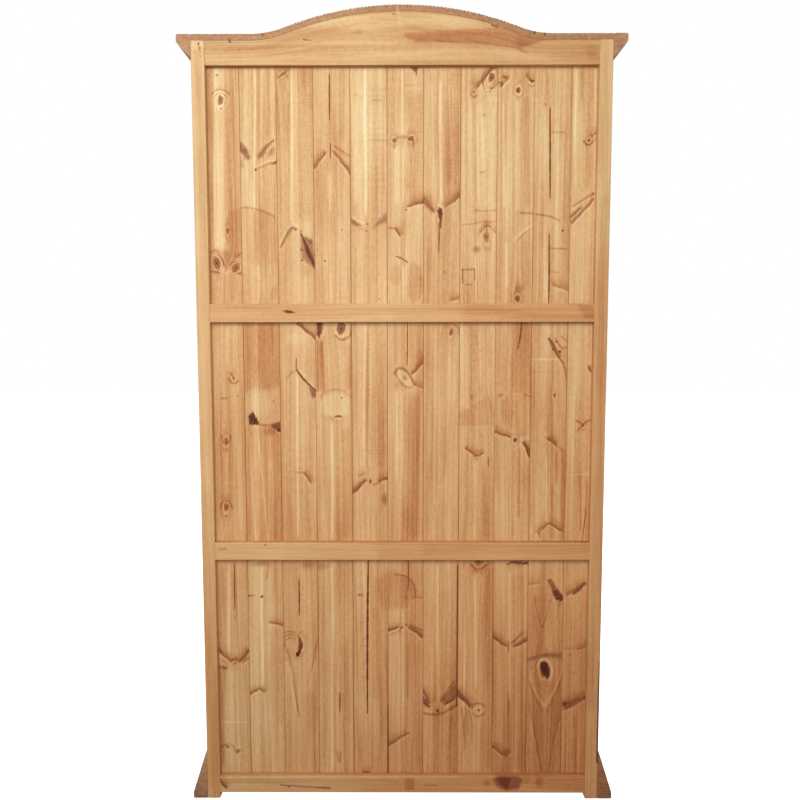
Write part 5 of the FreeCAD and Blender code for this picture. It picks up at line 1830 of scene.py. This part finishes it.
def shelf_cleats(side, sign, seed):
    """The five bearers of one side, each chamfered at its front end."""
    node = f"shelf_cleats_{side}"
    low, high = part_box(node)
    wall = max(abs(low.x), abs(high.x))
    inside = min(abs(low.x), abs(high.x))
    meshes = []
    for number, shelf in enumerate(SHELVES):
        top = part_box(shelf)[0].z
        foot = top - CLEAT_HEIGHT
        face = columns(foot, top, CLEAT_EASE, CLEAT_STEP)
        ring = ring_points(foot, top, -wall, -inside, CLEAT_EASE, face, 4)
        p, t, y = carried(ring, stations(low.y, high.y, CLEAT_LONG_STEP))
        front = bell((y - low.y) / CLEAT_STEP)
        y = y + front * CLEAT_CHAMFER * np.clip(1 - (p - foot) / CLEAT_CHAMFER, 0.0, 1.0)
        world = np.stack([-sign * t, y, p], axis=-1)
        mesh = loft(f"{node}_{number}", world, [FRAME_PINE, END_GRAIN])
        grain = grain_of(p + 0.8 * t, y, seed + number)
        write_attributes(mesh, grain, np.zeros((p.size, 3)), np.zeros(p.size))
        meshes.append(mesh)
    hand_over(join(node, meshes), node)


shelf_cleats("left", -1, 501.0)
shelf_cleats("right", 1, 511.0)


# The roof: boards bent over the arch, sawn across on top so that they bend


def roof_path(spacing):
    """Places along the roof: (x of the underside, saw cut or not), with pairs of stations at each cut."""
    step = KERF_PITCH / (ARCH_RADIUS + ROOF_THICKNESS)
    each_way = math.floor((ARCH_SLOPE - step) / step)
    angles = [k * step for k in range(-each_way, each_way + 1)]
    half = KERF_WIDTH / 2 / (ARCH_RADIUS + ROOF_THICKNESS)
    crisp = KERF_CRISP / ARCH_RADIUS
    cuts = []
    for angle in angles:
        for turn, cut in ((-half - crisp, 0), (-half, 1), (half, 1), (half + crisp, 0)):
            cuts.append((ARCH_RADIUS * math.sin(angle + turn), cut))
        cuts.append((ARCH_RADIUS * math.sin(angle + step / 2), 0))
    edge = cuts[-1][0] + KERF_MARGIN
    left = [(x, 0) for x in stations(-HALF_WIDTH, -edge, spacing)]
    right = [(x, 0) for x in stations(edge, HALF_WIDTH, spacing)]
    return left + cuts + right


def roof_board(number, seed):
    node = f"roof_board_{number}"
    low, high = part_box(node)
    shown = number == 3
    places = roof_path(SHOWN_ROOF_STEP if shown else HIDDEN_ROOF_STEP)
    x = np.array([place[0] for place in places])
    cut = np.array([place[1] for place in places])[:, None] > 0
    face = columns(low.y, high.y, ROOF_EASE, ROOF_WIDTH_STEP)
    ring = ring_points(low.y + ROOF_GAP, high.y - ROOF_GAP, 0.0, ROOF_THICKNESS, ROOF_EASE, face, 9)
    p, t, across = carried(ring, x)
    t = np.where(cut, np.minimum(t, ROOF_THICKNESS - KERF_SHOWN), t)
    rng = np.random.default_rng(int(seed))
    rough = rng.normal(0.0, SAW_ROUGHNESS, len(x))[:, None]
    t = t + rough * (t > ROOF_THICKNESS / 5)
    slope = arch_slope(x)[:, None]
    world = np.stack([across - t * np.sin(slope), p, arch_height(x)[:, None] + t * np.cos(slope)], axis=-1)
    mesh = loft(node, world, [ROOF_PINE, END_GRAIN])
    grain = grain_of(p + 0.8 * t + 0.004 * np.sin(3 * across + seed), across, seed)
    canvas = Canvas(*ON_FRAME(-across.ravel(), world[..., 2].ravel()), False)
    if shown:
        for mark in ROOF_MARKS:
            mark(canvas)
    marks = np.stack([canvas.dark, canvas.tone, canvas.warm], axis=1)
    marks *= (p.ravel() > high.y - REAR_EDGE)[:, None]
    seam = np.where(cut, KERF_STAIN, 0.0) * (t > ROOF_THICKNESS / 2)
    write_attributes(mesh, grain, marks, seam.ravel())
    hand_over(show(node, mesh), node)


for number in (1, 2, 3):
    roof_board(number, 600.0 + 3 * number)


# Mouldings: a section carried along a path by Geometry Nodes, then mitred at the front corners


def rounded(section, radius):
    """A section with its corners rounded, as (out, up) points."""
    points = np.array(section)
    result = []
    for before, here, after in zip(np.roll(points, 1, axis=0), points, np.roll(points, -1, axis=0)):
        back = before - here
        on = after - here
        reach = min(radius, 0.45 * np.linalg.norm(back), 0.45 * np.linalg.norm(on))
        start = here + back / np.linalg.norm(back) * reach
        end = here + on / np.linalg.norm(on) * reach
        for share in (0.0, 0.33, 0.67, 1.0):
            result.append((1 - share) ** 2 * start + 2 * share * (1 - share) * here + share**2 * end)
    return result


def divided(section, spacing):
    """The same closed section with points no further apart than spacing."""
    result = []
    for here, after in zip(section, section[1:] + section[:1]):
        count = max(1, math.ceil(np.linalg.norm(after - here) / spacing))
        for k in range(count):
            result.append(here + (after - here) * k / count)
    return result


def crown_section():
    foot = ROOF_THICKNESS - CROWN_HEIGHT
    lip = ROOF_THICKNESS - CROWN_LIP
    top = ROOF_THICKNESS
    return [(0.0, foot), (MOULDING_LAND, foot), (CROWN_OUT, lip), (CROWN_OUT, top), (0.0, top)]


def base_section():
    top = BASE_HEIGHT
    return [(0.0, 0.0), (BASE_OUT, 0.0), (BASE_OUT, BASE_LIP), (MOULDING_LAND, top), (0.0, top)]


def chain(name, points, closed):
    """A line of edges, as an object for Geometry Nodes to read."""
    count = len(points)
    edges = [(k, (k + 1) % count) for k in range(count if closed else count - 1)]
    mesh = bpy.data.meshes.new(name)
    mesh.from_pydata([tuple(map(float, point)) for point in points], edges, [])
    return show(name, mesh)


def sweep_tree():
    tree = bpy.data.node_groups.new("moulding along a path", "GeometryNodeTree")
    for name, kind in (("Path", "Geometry"), ("Section", "Object"), ("Wood", "Material")):
        tree.interface.new_socket(name=name, in_out="INPUT", socket_type=f"NodeSocket{kind}")
    tree.interface.new_socket(name="Moulding", in_out="OUTPUT", socket_type="NodeSocketGeometry")
    made = {}
    for key, kind in (
        ("given", "NodeGroupInput"),
        ("path", "GeometryNodeMeshToCurve"),
        ("upright", "GeometryNodeSetCurveNormal"),
        ("section", "GeometryNodeObjectInfo"),
        ("outline", "GeometryNodeMeshToCurve"),
        ("sweep", "GeometryNodeCurveToMesh"),
        ("real", "GeometryNodeRealizeInstances"),
        ("wood", "GeometryNodeSetMaterial"),
        ("result", "NodeGroupOutput"),
    ):
        made[key] = tree.nodes.new(kind)
    made["upright"].mode = "Z_UP"
    made["sweep"].inputs["Fill Caps"].default_value = True
    for source, out, target, into in (
        ("given", "Path", "path", "Mesh"),
        ("path", "Curve", "upright", "Curve"),
        ("upright", "Curve", "sweep", "Curve"),
        ("given", "Section", "section", "Object"),
        ("section", "Geometry", "outline", "Mesh"),
        ("outline", "Curve", "sweep", "Profile Curve"),
        ("sweep", "Mesh", "real", "Geometry"),
        ("real", "Geometry", "wood", "Geometry"),
        ("given", "Wood", "wood", "Material"),
        ("wood", "Geometry", "result", "Moulding"),
    ):
        tree.links.new(made[source].outputs[out], made[target].inputs[into])
    return tree


def evaluated(obj, tree, values):
    """What a node tree makes of obj, as a plain mesh. obj and its modifier are then removed."""
    modifier = obj.modifiers.new("nodes", "NODES")
    modifier.node_group = tree
    for item in tree.interface.items_tree:
        if item.item_type == "SOCKET" and item.in_out == "INPUT" and item.name in values:
            modifier[item.identifier] = values[item.name]
    bpy.context.view_layer.update()
    depsgraph = bpy.context.evaluated_depsgraph_get()
    mesh = bpy.data.meshes.new_from_object(obj.evaluated_get(depsgraph))
    obj.modifiers.remove(modifier)
    bpy.data.objects.remove(obj)
    return mesh


SWEEP = sweep_tree()


def points_of(mesh):
    points = np.zeros(len(mesh.vertices) * 3)
    mesh.vertices.foreach_get("co", points)
    return points.reshape(-1, 3)


def outward(mesh):
    """Turns the faces of a closed mesh outwards."""
    mesh.calc_loop_triangles()
    corners = np.zeros(len(mesh.loop_triangles) * 3, dtype=np.int32)
    mesh.loop_triangles.foreach_get("vertices", corners)
    triangle = points_of(mesh)[corners.reshape(-1, 3)]
    if np.einsum("ij,ij->", triangle[:, 0], np.cross(triangle[:, 1], triangle[:, 2])) < 0:
        mesh.flip_normals()


def moulding(node, section, path, along_axis, seed, mitre, ends=END_GRAIN, tone=0.0, round_by=MOULDING_ROUND):
    """mitre(points) moves the ends of the moulding onto the mitre planes."""
    corners = divided(rounded(section, round_by), SECTION_STEP)
    outline = chain("section", [(out, -up, 0.0) for out, up in corners], True)
    mesh = evaluated(chain(node, path, False), SWEEP, {"Section": outline, "Wood": MOULDING_PINE})
    bpy.data.objects.remove(outline)
    mesh.name = node
    points = mitre(points_of(mesh))
    mesh.vertices.foreach_set("co", points.ravel())
    outward(mesh)
    mesh.materials.append(ends)
    for face in mesh.polygons:
        if len(face.vertices) > 4:
            face.material_index = 1
    mesh.polygons.foreach_set("use_smooth", np.ones(len(mesh.polygons), dtype=bool))
    mesh.set_sharp_from_angle(angle=MOULDING_CREASE)
    along = points[:, along_axis]
    ring = points[:, 2] + 0.7 * points[:, 1 - along_axis] + 0.003 * np.sin(6 * along + seed)
    marks = np.tile((0.0, tone, MOULDING_WARMTH), (len(ring), 1))
    write_attributes(mesh, grain_of(ring, along, seed), marks, np.zeros(len(ring)))
    hand_over(show(node, mesh), node)


def front_mitre(points):
    out = FRONT_Y - points[:, 1]
    for sign in (-1, 1):
        end = np.abs(points[:, 0] - sign * HALF_WIDTH) < MITRE_REACH
        points[end, 0] += sign * out[end]
    return points


def side_mitre(points):
    out = np.abs(points[:, 0]) - HALF_WIDTH
    end = np.abs(points[:, 1] - FRONT_Y) < MITRE_REACH
    points[end, 1] -= out[end]
    return points


arch_x = np.linspace(-HALF_WIDTH, HALF_WIDTH, ARCH_POINTS)
arch_path = [(x, FRONT_Y, z) for x, z in zip(arch_x, arch_height(arch_x))]
moulding("crown_moulding_front", crown_section(), arch_path, 0, 701.0, front_mitre)
floor_path = [(x, FRONT_Y, 0.0) for x in np.linspace(-HALF_WIDTH, HALF_WIDTH, FLOOR_POINTS)]
moulding("base_moulding_front", base_section(), floor_path, 0, 703.0, front_mitre)
side_y = np.linspace(FRONT_Y, BACK_FACE_Y, SIDE_POINTS)
# The left base moulding and its end are painted darker, as painted shade on the side away from the light
for side, sign, crown_end, base_end, base_shade_tone in (
    ("left", -1, MID_END_GRAIN, SHADED_END_GRAIN, -0.4),
    ("right", 1, PALE_END_GRAIN, FOOT_END_GRAIN, 0.0),
):
    crown = f"crown_moulding_{side}"
    path = [(sign * HALF_WIDTH, y, SHOULDER_Z) for y in side_y[::sign]]
    moulding(crown, crown_section(), path, 1, 710.0 + sign, side_mitre, crown_end, round_by=CROWN_SIDE_ROUND)
    path = [(sign * HALF_WIDTH, y, 0.0) for y in side_y[::sign]]
    moulding(f"base_moulding_{side}", base_section(), path, 1, 720.0 + sign, side_mitre, base_end, base_shade_tone)


# The nails keep their CAD form. They are sunk in the wood and filled over.

for node in ("back_nails", "side_nails", "cleat_nails"):
    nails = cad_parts[node]
    nails.data.materials.clear()
    nails.data.materials.append(STEEL)


# Floor, light and camera


def floor_plane():
    mesh = bpy.data.meshes.new("floor")
    corners = [(FLOOR_REACH * a, FLOOR_REACH * b, 0) for a, b in ((-1, -1), (1, -1), (1, 1), (-1, 1))]
    mesh.from_pydata(corners, [], [(0, 1, 2, 3)])
    mesh.materials.append(pale_floor("pale floor"))
    floor = show("floor", mesh)
    floor.visible_diffuse = False
    floor.visible_glossy = False


floor_plane()


def area_light(name, place, target, size, power, colour, gleams=True):
    light = bpy.data.lights.new(name, "AREA")
    light.shape = "DISK"
    light.size = size
    light.energy = power
    light.color = colour
    lamp = show(name, light)
    lamp.location = place
    lamp.visible_camera = False
    lamp.visible_glossy = gleams
    aim = [b - a for a, b in zip(place, target)]
    lamp.rotation_euler = (math.atan2(math.hypot(aim[0], aim[1]), -aim[2]), 0.0, math.atan2(-aim[0], aim[1]))


area_light("key light", (0.3, 2.15, 1.84), (0.0, 0.2, 1.34), 1.5, 39.5, (0.96, 0.98, 0.97))
area_light("window light", (2.6, 3.6, 2.6), (0.0, 0.2, 1.2), 1.6, 26.0, (0.97, 0.98, 0.97))
area_light("front light", (-1.8, -2.6, 2.6), (0.0, 0.0, 1.0), 2.0, 60.0, (1.0, 0.97, 0.93), False)

world = bpy.data.worlds.new("studio")
bpy.context.scene.world = world
world.use_nodes = True
sky = Net(world.node_tree)
ambient = sky.node("Background", {"Color": (1.0, 0.88, 0.80, 1.0), "Strength": 0.3})
white = sky.node("Background", {"Color": (1.0, 1.0, 1.0, 1.0), "Strength": 1.0})
seen = sky.node("LightPath", {}).outputs["Is Camera Ray"]
both = sky.node("MixShader", {0: seen, 1: ambient.outputs[0], 2: white.outputs[0]})
sky.node("OutputWorld", {"Surface": both.outputs[0]})

lens = bpy.data.cameras.new("camera")
lens.sensor_width = SENSOR_MM
lens.lens = SENSOR_MM * FOCAL_PIXELS / IMAGE_SIZE
lens.dof.use_dof = False
camera = show("camera", lens)
camera.location = (CAMERA_X, CAMERA_Y, CAMERA_Z)
camera.rotation_euler = CAMERA_TURN
bpy.context.scene.camera = camera
bpy.context.scene.view_settings.view_transform = "Standard"
